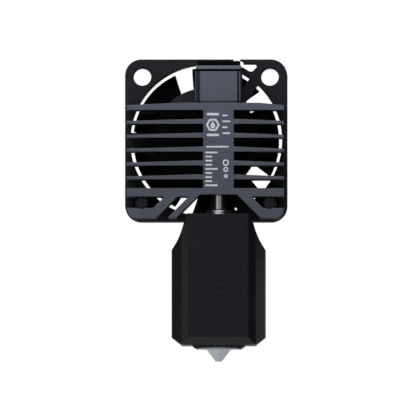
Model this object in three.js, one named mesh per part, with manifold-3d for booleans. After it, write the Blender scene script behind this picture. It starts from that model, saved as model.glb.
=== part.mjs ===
// Hotend of a desktop 3-D printer: a finned heatsink with a slim neck, a heat break, a heater block with
// its nozzle inside a silicone sock, and a 30 mm axial fan screwed behind the heatsink.
//
// Millimetres, +Z up, X to the right and +Y from the front towards the fan. The filament runs down the
// line X = Y = 0. Heights are measured from the nozzle's tip while the pieces are made, and the last
// lines of the file lower the whole group, so that the origin is the top of the neck on that line.
import * as THREE from 'three';
import { mergeVertices } from 'three/addons/utils/BufferGeometryUtils.js';
import { ConvexGeometry } from 'three/addons/geometries/ConvexGeometry.js';
import Module from 'manifold-3d';

const wasm = await Module();
wasm.setup();

// ------------------------------------------------------------------ driving dimensions
const FIT = 0.1;                 // gap left between pieces that sit on one another
const NECK_TOP = 55.6;           // the filament inlet's top: the part's origin

// Heatsink: one outline of column, fins and feet, as deep as the block is thick.
const SINK_LEFT = -17.02;
const SINK_RIGHT = 12.13;
const SINK_HALF_DEPTH = 6;
const COLUMN_HALF = 2.85;
const COLUMN_FOOT = 30.82;       // underside of the column
const COLUMN_FOOT_LEFT = -3.5;
const COLUMN_FOOT_RIGHT = 3.375;
const FIN_COUNT = 6;
const FIN_LOWEST = 33.62;        // underside of the lowest fin
const FIN_PITCH = 2.568;
const FIN_ROOT = 0.94;
const FIN_TIP = 0.55;
const CROWN_ROOT = 1.34;         // the top fin is thicker and flat in the middle
const CROWN_TIP = 0.89;
const CROWN_FLAT_LEFT = -7;
const CROWN_FLAT_RIGHT = 7.5;
const BAND_TOP = 31.99;          // the band that carries the feet
const SLOT_TOP = 30.43;
const SLOT_BOTTOM = 28.32;
const FOOT_BOTTOM = 26.49;
const FOOT_CORNER = 1.4;
// Where each 45 degree edge of the braces meets the line of the feet's undersides.
const LEFT_SLOT_END = -13.915;
const LEFT_BRACE_INNER = -11.53;
const THIN_BRACE_OUTER = -9.455;
const RIGHT_SLOT_END = 10.1;
const BREAK_BORE = 1.7;          // radius of the hole that takes the heat break
const FILAMENT_BORE = 1.0;

// Neck above the fins, and the black inlet pressed into it.
const NECK_HALF_WIDTH = 4.15;
const NECK_HALF_DEPTH = 3.7;
const NECK_CHAMFER = 0.72;
const NECK_BASE = 47.5;
const GROOVE_BOTTOM = 53.83;
const GROOVE_TOP = 54.07;
const GROOVE_DEPTH = 0.4;
const LIP_TOP = 54.76;
const INLET_HALF_WIDTH = 4.0;
const INLET_HALF_DEPTH = 3.5;
const INLET_SPIGOT = 2.4;
const INLET_SPIGOT_END = 51.8;

// Heat break, heater block, nozzle and what is clipped to the block.
const BREAK_RADIUS = 1.46;
const BREAK_TOP = 44;
const COLLAR_TOP = 28.2;
const COLLAR_RADIUS = 2.45;
const COLLAR_WAIST = 27.3;
const COLLAR_FOOT_RADIUS = 2.05;
const BLOCK_HALF_WIDTH = 5;
const BLOCK_FRONT = -3.55;
const BLOCK_BACK = 5.2;
const BLOCK_BOTTOM = 4.3;
const BLOCK_TOP = 24.9;
const BLOCK_BOSS_TOP = 26.1;
const BLOCK_BOSS_RADIUS = 3;
const NOZZLE_DISC_RADIUS = 3.9;
const NOZZLE_DISC_BOTTOM = 2.27;
const NOZZLE_CONE_RADIUS = 2.16;
const NOZZLE_TIP_RADIUS = 0.55;
const NOZZLE_ORIFICE = 0.3;
const NOZZLE_SHANK_RADIUS = 2.9;
const NOZZLE_SHANK_TOP = 9.9;
const HEATER_HALF_WIDTH = 4.4;
const HEATER_THICKNESS = 1.2;
const HEATER_BOTTOM = 8;
const HEATER_TOP = 20;
const CLIP_SHEET = 0.4;
const CLIP_BOTTOM = 11;
const CLIP_TOP = 17;
const CLIP_HOOK = 0.7;
const CLIP_HOOK_Y = 0.6;
const THERMISTOR_RADIUS = 0.9;
const THERMISTOR_Y = 3.2;
const THERMISTOR_Z = 14;
const THERMISTOR_LENGTH = 4;

// Silicone sock. The front panel is raised, with 45 degree strips beside and below it.
const SOCK_TOP = 27.31;
const SOCK_PANEL_HALF = 5.55;
const SOCK_PANEL_BOTTOM = 4.43;
const SOCK_EDGE_HALF = 6.75;
const SOCK_EDGE_Y = 6;
const SOCK_BOTTOM = 2.96;
const SOCK_HALF_WIDTH = 8.7;
const SOCK_HALF_DEPTH = 7.2;
const SOCK_SIDE_HALF_DEPTH = 2.6;
const SOCK_CAVITY_HALF_WIDTH = 5.6;
const SOCK_CAVITY_HALF_DEPTH = 5.9;
const SOCK_FLOOR = 4.0;
const SOCK_BOSS_RADIUS = 4.9;
const SOCK_BOSS_BOTTOM = 2.5;
const SOCK_HOLE = 4.0;
const SOCK_BACK_CUT_Y = 5.8;     // behind this the sock stops below the fan
const SOCK_BACK_CUT_Z = 25.35;
// The hollow curve of each shoulder, in X and Z from the top down.
const SOCK_SHOULDER = [[5.62, SOCK_TOP + 0.3], [6.35, 25.8], [6.95, 23.9], [7.7, 22.2], [8.8, 20.4]];

// Fan. Its group's origin is the axis at the front face, the side of the struts.
const FAN_X = -2.38;
const FAN_Y = 6.3;
const FAN_Z = 41.11;
const FAN_SIDE = 30;
const FAN_DEPTH = 10;
const FAN_CORNER = 3;
const FLANGE = 2.2;
const FAN_OPENING = 14.06;
const SHROUD_RADIUS = 14.9;
const HOLE_OFFSET = 11.8;        // the four screw holes, from the axis
const HOLE_RADIUS = 1.65;
const POST_RADIUS = 3;
const INLET_FLARE = 0.45;
const BASE_RADIUS = 9.72;
const BASE_THICKNESS = 1.2;
const STRUT_DEPTH = 1.6;
const STRUT_START = 8.5;
// Each strut's direction in degrees, its offset to the left of that direction, its width and where it ends.
const STRUTS = [[180, 0, 2.85, 14.6], [54.3, -0.87, 2, 15.2], [-60.5, 0, 2.6, 15]];
// The hole for the lead and the slot into it past a thin hook, in X and Z from the axis.
const LEAD_SLOT = [
  [5.03, 16], [5.03, 13.6], [6.9, 13.5], [8, 12.78], [8.6, 12.78], [9.5, 13.7],
  [9.06, 14.22], [6.9, 14.22], [6.75, 14.75], [6.25, 14.85], [6.25, 16],
];
const TUBE_INNER = 1.75;
const TUBE_OUTER = 2.5;
const TUBE_END = 7.2;

// Rotor.
const BLADE_COUNT = 5;
const BLADE_SPAN = THREE.MathUtils.degToRad(58);
const BLADE_SWEEP = THREE.MathUtils.degToRad(3.4);
const BLADE_TIP = 13.5;
const BLADE_ROOT = 9.0;
const BLADE_FRONT = 2.5;
const BLADE_RISE = 6.5;
const BLADE_THICKNESS = 0.8;
const HUB_RADIUS = 9.3;
const HUB_WALL = 0.6;
const HUB_FRONT = 1.9;
const HUB_BACK = 9.5;
const HUB_FLOOR = 8.75;
const HUB_CHAMFER = 0.5;
const HUB_BOSS_RADIUS = 2.1;
const YOKE_OUTER = 8.6;
const YOKE_WALL = 0.45;
const YOKE_FRONT = 2.2;
const YOKE_HOLE = 2.3;
const MAGNET_OUTER = 8.05;
const MAGNET_INNER = 7.35;
const MAGNET_FRONT = 2.5;
const MAGNET_BACK = 7.9;
const SHAFT_RADIUS = 0.75;
const SHAFT_FRONT = 1.7;
const SHAFT_BACK = 8.9;
const SHAFT_END_RADIUS = 0.65;
const SHAFT_GROOVE_RADIUS = 0.55;
const SHAFT_GROOVE_FRONT = 1.85;
const SHAFT_GROOVE_BACK = 2.2;
const SHAFT_CLIP_INNER = 0.62;
const SHAFT_CLIP_OUTER = 1.4;
const SHAFT_CLIP_FRONT = 1.95;
const SHAFT_CLIP_BACK = 2.12;

// Stator.
const CORE_FRONT = 3.8;
const CORE_BACK = 6.2;
const INSULATOR_THICKNESS = 0.5;
const POLE_COUNT = 4;
const COIL_INNER_R = 3.55;
const COIL_OUTER_R = 5.35;
const COIL_HALF_WIDTH = 2.1;
const COIL_HALF_HEIGHT = 2.5;
const COIL_HOLE_HALF_WIDTH = 1.3;
const COIL_HOLE_HALF_HEIGHT = 1.9;
const COIL_CORNER = 0.6;
const POLE_RING_RADIUS = 3.4;
const CORE_POLE = { neckHalf: 1, shoeInner: 6, shoeOuter: 6.9, shoeHalfDegrees: 34 };
const INSULATOR_POLE = { neckHalf: 1.15, shoeInner: 5.95, shoeOuter: 6.6, shoeHalfDegrees: 30 };
const BOARD_FRONT = 1.5;
const BOARD_BACK = 2.3;
const BOARD_RADIUS = 7.6;
const HALL_INNER_R = 5.2;
const HALL_OUTER_R = 6.4;
const HALL_HALF_WIDTH = 0.9;
const HALL_BACK = 3.1;
const HALL_DEGREES = 45;
const THRUST_PAD_RADIUS = 1.5;
const THRUST_PAD_BACK = 1.55;
const BUSH_INNER = 0.8;
const BUSH_OUTER = 1.68;
const BUSH_FRONT = 2.4;
const BUSH_BACK = 7.0;

// Fan screws, through the two lower holes into the slots of the feet. Depths are behind the fan's front face.
const SCREW_RADIUS = 1.22;
const SCREW_TIP_Y = -10;
const SCREW_DOME = 0.7;
const SCREW_HEAD_RADIUS = 2.4;
const SCREW_HEAD_SIDE = 0.8;
const SCREW_HEAD_HEIGHT = 1.7;
const SCREW_RECESS_FLOOR = 0.9;
const SCREW_RECESS_HALF_LENGTH = 1.3;
const SCREW_RECESS_HALF_WIDTH = 0.3;
const SCREW_RELIEF = 1.28;       // radius of the hollows in the slots' edges

// ------------------------------------------------------------------ materials
const paint = (color, roughness, metalness) =>
  new THREE.MeshStandardMaterial({ color, roughness, metalness });

const materials = {
  anodised: paint(0x51545e, 0.45, 0.75),
  blackPlastic: paint(0x26272b, 0.6, 0),
  inletPlastic: paint(0x0d0c0c, 0.5, 0),
  silicone: paint(0x202226, 0.75, 0),
  polishedSteel: paint(0xb8b8bc, 0.15, 1),
  nozzleSteel: paint(0xa9a9af, 0.3, 1),
  copper: paint(0xb87a56, 0.35, 1),
  ceramic: paint(0xe9e6df, 0.4, 0),
  springSteel: paint(0x8f9095, 0.3, 1),
  bronze: paint(0x8a6a3c, 0.5, 1),
  magnet: paint(0x2c2b2d, 0.7, 0.2),
  lamination: paint(0x6f7075, 0.5, 0.9),
  winding: paint(0xa5502a, 0.35, 0.8),
  insulator: paint(0xe4e0d4, 0.55, 0),
  board: paint(0x14532d, 0.5, 0),
  screwSteel: paint(0x4a4d55, 0.45, 0.8),
};

// ------------------------------------------------------------------ geometry helpers
// A closed three.js geometry as a solid that can be cut and joined.
function solid(geometry) {
  const bare = geometry.clone();
  bare.deleteAttribute('normal');
  bare.deleteAttribute('uv');
  const merged = mergeVertices(bare, 1e-4);
  const positions = Float32Array.from(merged.attributes.position.array);
  const index = merged.index.array;
  const corner = (i) => new THREE.Vector3().fromArray(positions, 3 * i);
  const triangles = [];
  let volume = 0;
  for (let i = 0; i < index.length; i += 3) {
    const [a, b, c] = [index[i], index[i + 1], index[i + 2]];
    if (a === b || b === c || c === a) continue;
    triangles.push([a, b, c]);
    volume += corner(a).dot(corner(b).cross(corner(c)));
  }
  const outward = volume > 0 ? triangles : triangles.map(([a, b, c]) => [a, c, b]);
  const mesh = new wasm.Mesh({
    numProp: 3,
    vertProperties: positions,
    triVerts: Uint32Array.from(outward.flat()),
  });
  return new wasm.Manifold(mesh);
}

function geometryOf(manifold) {
  const mesh = manifold.getMesh();
  const geometry = new THREE.BufferGeometry();
  geometry.setAttribute('position', new THREE.BufferAttribute(mesh.vertProperties, 3));
  geometry.setIndex(new THREE.BufferAttribute(mesh.triVerts, 1));
  const faceted = geometry.toNonIndexed();
  faceted.computeVertexNormals();
  return faceted;
}

const join = (pieces) => pieces.reduce((whole, piece) => whole.add(piece));

function outline(points) {
  const shape = new THREE.Shape();
  points.forEach(([x, y], i) => (i ? shape.lineTo(x, y) : shape.moveTo(x, y)));
  shape.closePath();
  return shape;
}

// An X-Z outline extruded from depth y0 back to depth y1.
function alongY(shape, y0, y1, curveSegments = 8) {
  const geometry = new THREE.ExtrudeGeometry(shape, {
    depth: y1 - y0, bevelEnabled: false, curveSegments,
  });
  geometry.rotateX(Math.PI / 2);
  geometry.translate(0, y1, 0);
  return solid(geometry);
}

// An X-Y outline extruded from height z0 up to height z1.
function alongZ(shape, z0, z1) {
  const geometry = new THREE.ExtrudeGeometry(shape, { depth: z1 - z0, bevelEnabled: false });
  geometry.translate(0, 0, z0);
  return solid(geometry);
}

// A [radius, y] profile turned about Y.
function turnedY(profile, segments = 32) {
  const points = profile.map(([r, y]) => new THREE.Vector2(r, y));
  return solid(new THREE.LatheGeometry(points, segments));
}

// A [radius, z] profile turned about Z.
function turnedZ(profile, segments = 32) {
  const points = profile.map(([r, z]) => new THREE.Vector2(r, z));
  const geometry = new THREE.LatheGeometry(points, segments);
  geometry.rotateX(Math.PI / 2);
  return solid(geometry);
}

const ringProfile = (inner, outer, low, high) =>
  [[inner, low], [outer, low], [outer, high], [inner, high], [inner, low]];
const rodProfile = (radius, low, high) => [[0, low], [radius, low], [radius, high], [0, high]];

// A rod along Y whose axis passes through (x, z).
const rodY = (radius, x, z, y0, y1, segments = 24) =>
  turnedY(rodProfile(radius, y0, y1), segments).translate([x, 0, z]);

function box(x0, x1, y0, y1, z0, z1) {
  const geometry = new THREE.BoxGeometry(x1 - x0, y1 - y0, z1 - z0);
  geometry.translate((x0 + x1) / 2, (y0 + y1) / 2, (z0 + z1) / 2);
  return solid(geometry);
}

function roundedRectangle(halfWidth, halfHeight, radius) {
  const [w, h] = [halfWidth - radius, halfHeight - radius];
  const shape = new THREE.Shape();
  shape.absarc(w, h, radius, 0, Math.PI / 2);
  shape.absarc(-w, h, radius, Math.PI / 2, Math.PI);
  shape.absarc(-w, -h, radius, Math.PI, 1.5 * Math.PI);
  shape.absarc(w, -h, radius, 1.5 * Math.PI, 2 * Math.PI);
  shape.closePath();
  return shape;
}

// The part of a ring between two angles.
function sector(inner, outer, from, to) {
  const shape = new THREE.Shape();
  shape.absarc(0, 0, outer, from, to);
  shape.absarc(0, 0, inner, to, from, true);
  shape.closePath();
  return shape;
}

function chamferedRectangle(halfWidth, halfDepth, chamfer) {
  const [w, d] = [halfWidth - chamfer, halfDepth - chamfer];
  return outline([
    [-w, -halfDepth], [w, -halfDepth], [halfWidth, -d], [halfWidth, d],
    [w, halfDepth], [-w, halfDepth], [-halfWidth, d], [-halfWidth, -d],
  ]);
}

const turned = (manifold, degreesAboutY) => manifold.rotate([0, degreesAboutY, 0]);

// ------------------------------------------------------------------ heatsink
// Fins on one side of the column, from the bottom up. Each has a flat underside and tapers to its tip.
function finEdges(side, tipX) {
  const points = [];
  for (let i = 0; i < FIN_COUNT - 1; i++) {
    const underside = FIN_LOWEST + i * FIN_PITCH;
    points.push([side * COLUMN_HALF, underside], [tipX, underside]);
    points.push([tipX, underside + FIN_TIP], [side * COLUMN_HALF, underside + FIN_ROOT]);
  }
  return points;
}

// A point on a brace's 45 degree edge, given where that edge meets the line of the feet's undersides.
const slant = (foot, lean, z) => [foot + lean * (z - FOOT_BOTTOM), z];

function heatsinkOutline() {
  const crown = FIN_LOWEST + (FIN_COUNT - 1) * FIN_PITCH;
  const thinBraceInner = COLUMN_FOOT_LEFT - (COLUMN_FOOT - FOOT_BOTTOM);
  const rightBraceInner = COLUMN_FOOT_RIGHT + (COLUMN_FOOT - FOOT_BOTTOM);
  return outline([
    [SINK_LEFT, BAND_TOP],
    [SINK_LEFT, SLOT_TOP],
    slant(LEFT_SLOT_END, 1, SLOT_TOP),
    slant(LEFT_SLOT_END, 1, SLOT_BOTTOM),
    [SINK_LEFT, SLOT_BOTTOM],
    ...footCorner(SINK_LEFT, 1),
    [LEFT_BRACE_INNER, FOOT_BOTTOM],
    slant(LEFT_BRACE_INNER, 1, SLOT_TOP),
    slant(THIN_BRACE_OUTER, 1, SLOT_TOP),
    [THIN_BRACE_OUTER, FOOT_BOTTOM],
    [thinBraceInner, FOOT_BOTTOM],
    [COLUMN_FOOT_LEFT, COLUMN_FOOT],
    [COLUMN_FOOT_RIGHT, COLUMN_FOOT],
    [rightBraceInner, FOOT_BOTTOM],
    ...footCorner(SINK_RIGHT, -1).reverse(),
    [SINK_RIGHT, SLOT_BOTTOM],
    slant(RIGHT_SLOT_END, -1, SLOT_BOTTOM),
    slant(RIGHT_SLOT_END, -1, SLOT_TOP),
    [SINK_RIGHT, SLOT_TOP],
    [SINK_RIGHT, BAND_TOP],
    [COLUMN_HALF, BAND_TOP],
    ...finEdges(1, SINK_RIGHT),
    [COLUMN_HALF, crown],
    [SINK_RIGHT, crown],
    [SINK_RIGHT, crown + CROWN_TIP],
    [CROWN_FLAT_RIGHT, crown + CROWN_ROOT],
    [CROWN_FLAT_LEFT, crown + CROWN_ROOT],
    [SINK_LEFT, crown + CROWN_TIP],
    [SINK_LEFT, crown],
    [-COLUMN_HALF, crown],
    ...finEdges(-1, SINK_LEFT).reverse(),
    [-COLUMN_HALF, BAND_TOP],
  ]);
}

// The rounded outer corner under a foot, from its side down to its underside.
function footCorner(x, inward) {
  const steps = 5;
  const points = [];
  for (let i = 0; i <= steps; i++) {
    const angle = (i / steps) * Math.PI / 2;
    points.push([
      x + inward * FOOT_CORNER * (1 - Math.cos(angle)),
      FOOT_BOTTOM + FOOT_CORNER * (1 - Math.sin(angle)),
    ]);
  }
  return points;
}

function neck() {
  const section = chamferedRectangle(NECK_HALF_WIDTH, NECK_HALF_DEPTH, NECK_CHAMFER);
  const waist = chamferedRectangle(
    NECK_HALF_WIDTH - GROOVE_DEPTH, NECK_HALF_DEPTH - GROOVE_DEPTH, NECK_CHAMFER);
  return join([
    alongZ(section, NECK_BASE, GROOVE_BOTTOM),
    alongZ(waist, GROOVE_BOTTOM - 1, GROOVE_TOP + 0.1),
    box(-NECK_HALF_WIDTH, NECK_HALF_WIDTH, -NECK_HALF_DEPTH, NECK_HALF_DEPTH, GROOVE_TOP, LIP_TOP),
  ]);
}

function heatsink() {
  const bore = turnedZ([
    [0, COLUMN_FOOT - 1], [BREAK_BORE, COLUMN_FOOT - 1], [BREAK_BORE, BREAK_TOP + FIT],
    [FILAMENT_BORE, BREAK_TOP + 1], [FILAMENT_BORE, INLET_SPIGOT_END - FIT],
    [INLET_SPIGOT + FIT, INLET_SPIGOT_END - FIT], [INLET_SPIGOT + FIT, LIP_TOP + 1], [0, LIP_TOP + 1],
  ]);
  const reliefs = [-1, 1].map((side) =>
    rodY(SCREW_RELIEF, FAN_X + side * HOLE_OFFSET, FAN_Z - HOLE_OFFSET, -FAN_Y - 1, FAN_Y + 1));
  const body = alongY(heatsinkOutline(), -SINK_HALF_DEPTH, SINK_HALF_DEPTH).add(neck());
  return body.subtract(join([bore, ...reliefs]));
}

// The black seat that guides the filament into the neck: a plate with a spigot and a funnel.
function filamentInlet() {
  const plate = box(
    -INLET_HALF_WIDTH, INLET_HALF_WIDTH, -INLET_HALF_DEPTH, INLET_HALF_DEPTH, LIP_TOP + FIT, NECK_TOP);
  const spigot = turnedZ(rodProfile(INLET_SPIGOT, INLET_SPIGOT_END, LIP_TOP + 0.5));
  const funnel = turnedZ([
    [0, INLET_SPIGOT_END - 1], [FILAMENT_BORE, INLET_SPIGOT_END - 1], [FILAMENT_BORE, NECK_TOP - 1.5],
    [2, NECK_TOP + 0.01], [0, NECK_TOP + 0.01],
  ]);
  return plate.add(spigot).subtract(funnel);
}

// ------------------------------------------------------------------ hot side
function heatBreak() {
  const foot = BLOCK_BOSS_TOP + FIT;
  return turnedZ([
    [FILAMENT_BORE, foot], [COLLAR_FOOT_RADIUS, foot], [COLLAR_FOOT_RADIUS, COLLAR_WAIST],
    [COLLAR_RADIUS, COLLAR_TOP], [BREAK_RADIUS, COLLAR_TOP], [BREAK_RADIUS, BREAK_TOP],
    [FILAMENT_BORE, BREAK_TOP], [FILAMENT_BORE, foot],
  ]);
}

function heaterBlock() {
  const body = box(
    -BLOCK_HALF_WIDTH, BLOCK_HALF_WIDTH, BLOCK_FRONT, BLOCK_BACK, BLOCK_BOTTOM, BLOCK_TOP);
  const boss = turnedZ(rodProfile(BLOCK_BOSS_RADIUS, BLOCK_TOP - 1, BLOCK_BOSS_TOP));
  const bore = turnedZ([
    [0, BLOCK_BOTTOM - 1], [NOZZLE_SHANK_RADIUS + FIT, BLOCK_BOTTOM - 1],
    [NOZZLE_SHANK_RADIUS + FIT, NOZZLE_SHANK_TOP + FIT], [FILAMENT_BORE, NOZZLE_SHANK_TOP + FIT],
    [FILAMENT_BORE, BLOCK_BOSS_TOP + 1], [0, BLOCK_BOSS_TOP + 1],
  ]);
  const thermistorHole = thermistorRod(THERMISTOR_RADIUS + FIT, THERMISTOR_LENGTH + 1.4, 1);
  const grooveInner = BLOCK_HALF_WIDTH - CLIP_HOOK;
  const grooves = [-1, 1].map((side) => {
    const [x0, x1] = [side * grooveInner, side * (BLOCK_HALF_WIDTH + 1)].sort((a, b) => a - b);
    return box(
      x0, x1, CLIP_HOOK_Y - FIT, CLIP_HOOK_Y + CLIP_SHEET + FIT, CLIP_BOTTOM - 0.3, CLIP_TOP + 0.3);
  });
  return body.add(boss).subtract(join([bore, thermistorHole, ...grooves]));
}

function nozzle() {
  const discTop = BLOCK_BOTTOM - FIT;
  return turnedZ([
    [NOZZLE_ORIFICE, 0], [NOZZLE_TIP_RADIUS, 0], [NOZZLE_CONE_RADIUS, NOZZLE_DISC_BOTTOM],
    [NOZZLE_DISC_RADIUS, NOZZLE_DISC_BOTTOM], [NOZZLE_DISC_RADIUS, discTop],
    [NOZZLE_SHANK_RADIUS, discTop], [NOZZLE_SHANK_RADIUS, NOZZLE_SHANK_TOP],
    [FILAMENT_BORE, NOZZLE_SHANK_TOP], [FILAMENT_BORE, 2], [NOZZLE_ORIFICE, 0.8], [NOZZLE_ORIFICE, 0],
  ]);
}

const heaterFront = BLOCK_FRONT - FIT - HEATER_THICKNESS;

const ceramicHeater = () =>
  box(-HEATER_HALF_WIDTH, HEATER_HALF_WIDTH, heaterFront, BLOCK_FRONT - FIT, HEATER_BOTTOM, HEATER_TOP);

// A bent sheet that runs round the heater and hooks into a groove in each side of the block.
function heaterClip() {
  const inner = BLOCK_HALF_WIDTH + FIT;
  const outer = inner + CLIP_SHEET;
  const plateBack = heaterFront - FIT;
  const hookTip = BLOCK_HALF_WIDTH - CLIP_HOOK + FIT;
  const hookBack = CLIP_HOOK_Y + CLIP_SHEET;
  const right = [
    [inner, plateBack], [inner, CLIP_HOOK_Y], [hookTip, CLIP_HOOK_Y], [hookTip, hookBack],
    [outer, hookBack], [outer, plateBack - CLIP_SHEET],
  ];
  const left = right.map(([x, y]) => [-x, y]).reverse();
  return alongZ(outline([...right, ...left]), CLIP_BOTTOM, CLIP_TOP);
}

// A rod along X whose outer end is `proud` mm beyond the right side of the block.
function thermistorRod(radius, length, proud) {
  const geometry = new THREE.CylinderGeometry(radius, radius, length, 16);
  geometry.rotateZ(Math.PI / 2);
  geometry.translate(BLOCK_HALF_WIDTH + proud - length / 2, THERMISTOR_Y, THERMISTOR_Z);
  return solid(geometry);
}

const thermistor = () => thermistorRod(THERMISTOR_RADIUS, THERMISTOR_LENGTH, -FIT);

// ------------------------------------------------------------------ silicone sock
// The hull of three pairs of vertical edges at each end: the panel's, the side's and the one between them,
// which alone reaches down to the flat bottom.
function sockBody() {
  const corners = [];
  const addEdge = (x, y, bottom) => {
    for (const z of [bottom, SOCK_TOP]) corners.push(new THREE.Vector3(x, y, z));
  };
  for (const x of [-1, 1]) {
    for (const y of [-1, 1]) {
      addEdge(x * SOCK_PANEL_HALF, y * SOCK_HALF_DEPTH, SOCK_PANEL_BOTTOM);
      addEdge(x * SOCK_EDGE_HALF, y * SOCK_EDGE_Y, SOCK_BOTTOM);
      addEdge(x * SOCK_HALF_WIDTH, y * SOCK_SIDE_HALF_DEPTH, SOCK_PANEL_BOTTOM);
    }
  }
  return solid(new ConvexGeometry(corners));
}

// What is cut from one shoulder, so that the sock narrows towards the heat break in a hollow curve.
function shoulderCut(side) {
  const [top, ...rest] = SOCK_SHOULDER.map(([x, z]) => new THREE.Vector2(side * x, z));
  const outside = side * (SOCK_HALF_WIDTH + 2);
  const shape = new THREE.Shape();
  shape.moveTo(top.x, top.y);
  shape.splineThru(rest);
  shape.lineTo(outside, rest.at(-1).y);
  shape.lineTo(outside, SOCK_TOP + 2);
  shape.lineTo(top.x, SOCK_TOP + 2);
  shape.closePath();
  return alongY(shape, -SOCK_HALF_DEPTH - 1, SOCK_HALF_DEPTH + 1, 3);
}

function siliconeSock() {
  const boss = turnedZ([
    [0, SOCK_BOSS_BOTTOM], [SOCK_HOLE + 0.15, SOCK_BOSS_BOTTOM], [SOCK_HOLE + 0.6, SOCK_BOSS_BOTTOM + 0.15],
    [SOCK_BOSS_RADIUS, SOCK_BOTTOM + 0.05], [SOCK_BOSS_RADIUS, SOCK_FLOOR - 0.2], [0, SOCK_FLOOR - 0.2],
  ], 40);
  const hole = turnedZ(rodProfile(SOCK_HOLE, 0, SOCK_FLOOR + 1), 40);
  const [w, d] = [SOCK_CAVITY_HALF_WIDTH, SOCK_CAVITY_HALF_DEPTH];
  const cavity = box(-w, w, -d, d, SOCK_FLOOR, SOCK_TOP + 1);
  const underFan = box(
    -SOCK_HALF_WIDTH, SOCK_HALF_WIDTH, SOCK_BACK_CUT_Y, SOCK_HALF_DEPTH + 1, SOCK_BACK_CUT_Z, SOCK_TOP + 1);
  return sockBody().add(boss).subtract(join([hole, cavity, underFan, shoulderCut(-1), shoulderCut(1)]));
}

// ------------------------------------------------------------------ fan frame
function flange(y0, y1) {
  const shape = roundedRectangle(FAN_SIDE / 2, FAN_SIDE / 2, FAN_CORNER);
  return alongY(shape, y0, y1, 5);
}

// A bar in the plane of the struts, from the motor's base outwards.
function strut(degrees, offset, width, end) {
  const bar = box(STRUT_START, end, 0, STRUT_DEPTH, offset - width / 2, offset + width / 2);
  return turned(bar, -degrees);
}

const leadSlot = () => alongY(outline(LEAD_SLOT), -1, FAN_DEPTH + 1);

function fanFrame() {
  const posts = [];
  const holes = [];
  for (const x of [-HOLE_OFFSET, HOLE_OFFSET]) {
    for (const z of [-HOLE_OFFSET, HOLE_OFFSET]) {
      posts.push(rodY(POST_RADIUS, x, z, FLANGE / 2, FAN_DEPTH - FLANGE / 2, 20));
      holes.push(rodY(HOLE_RADIUS, x, z, -1, FAN_DEPTH + 1, 20));
    }
  }
  const shell = join([
    flange(0, FLANGE),
    flange(FAN_DEPTH - FLANGE, FAN_DEPTH),
    turnedY(rodProfile(SHROUD_RADIUS, FLANGE / 2, FAN_DEPTH - FLANGE / 2), 48),
    ...posts,
  ]);
  const opening = turnedY([
    [0, -1], [FAN_OPENING, -1], [FAN_OPENING, FAN_DEPTH - 2], [FAN_OPENING + INLET_FLARE, FAN_DEPTH + 0.01],
    [0, FAN_DEPTH + 0.01],
  ], 48);
  const centre = join([
    turnedY(rodProfile(BASE_RADIUS, 0, BASE_THICKNESS), 48),
    turnedY(rodProfile(TUBE_OUTER, 0, TUBE_END), 24),
    ...STRUTS.map(([degrees, offset, width, end]) => strut(degrees, offset, width, end)),
  ]);
  const bearingHole = turnedY(rodProfile(TUBE_INNER, BASE_THICKNESS, TUBE_END + 1), 24);
  return shell.subtract(join([opening, leadSlot()])).add(centre).subtract(join([bearingHole, ...holes]));
}

// ------------------------------------------------------------------ fan rotor
// A flat bar bent into a blade: u runs along the chord, v from the hub to the tip, w through the sheet.
function blade(index) {
  const geometry = new THREE.BoxGeometry(1, 1, 1, 8, 2, 1);
  const position = geometry.attributes.position;
  const middle = (index * 2 * Math.PI) / BLADE_COUNT;
  for (let i = 0; i < position.count; i++) {
    const u = position.getX(i) + 0.5;
    const v = position.getY(i) + 0.5;
    const w = position.getZ(i);
    const radius = BLADE_ROOT + (BLADE_TIP - BLADE_ROOT) * v;
    const angle = middle + BLADE_SPAN * (u - 0.5) + BLADE_SWEEP * (1 - v);
    const rise = 1 - u - 0.1 * Math.sin(Math.PI * u);
    const y = BLADE_FRONT + BLADE_RISE * rise + BLADE_THICKNESS * w;
    position.setXYZ(i, radius * Math.cos(angle), y, radius * Math.sin(angle));
  }
  return solid(geometry);
}

function impeller() {
  const blades = Array.from({ length: BLADE_COUNT }, (_, i) => blade(i));
  const cup = turnedY([
    [0, HUB_FLOOR], [HUB_RADIUS - HUB_WALL, HUB_FLOOR], [HUB_RADIUS - HUB_WALL, HUB_FRONT],
    [HUB_RADIUS, HUB_FRONT], [HUB_RADIUS, HUB_BACK - HUB_CHAMFER], [HUB_RADIUS - HUB_CHAMFER, HUB_BACK],
    [0, HUB_BACK],
  ], 40);
  const boss = turnedY(rodProfile(HUB_BOSS_RADIUS, TUBE_END + 0.3, HUB_FLOOR + 0.3), 24);
  const insideCup = turnedY(rodProfile(HUB_RADIUS - HUB_WALL, 0, HUB_FLOOR), 40);
  const shaftHole = turnedY(rodProfile(SHAFT_RADIUS + 0.05, 0, SHAFT_BACK + FIT), 24);
  return join(blades).subtract(insideCup).add(cup).add(boss).subtract(shaftHole);
}

function rotorYoke() {
  const back = HUB_FLOOR - FIT;
  return turnedY([
    [YOKE_OUTER - YOKE_WALL, YOKE_FRONT], [YOKE_OUTER, YOKE_FRONT], [YOKE_OUTER, back],
    [YOKE_HOLE, back], [YOKE_HOLE, back - YOKE_WALL], [YOKE_OUTER - YOKE_WALL, back - YOKE_WALL],
    [YOKE_OUTER - YOKE_WALL, YOKE_FRONT],
  ], 36);
}

function rotorShaft() {
  return turnedY([
    [0, SHAFT_FRONT], [SHAFT_END_RADIUS, SHAFT_FRONT], [SHAFT_END_RADIUS, SHAFT_GROOVE_FRONT],
    [SHAFT_GROOVE_RADIUS, SHAFT_GROOVE_FRONT], [SHAFT_GROOVE_RADIUS, SHAFT_GROOVE_BACK],
    [SHAFT_RADIUS, SHAFT_GROOVE_BACK], [SHAFT_RADIUS, SHAFT_BACK], [0, SHAFT_BACK],
  ], 24);
}

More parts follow.
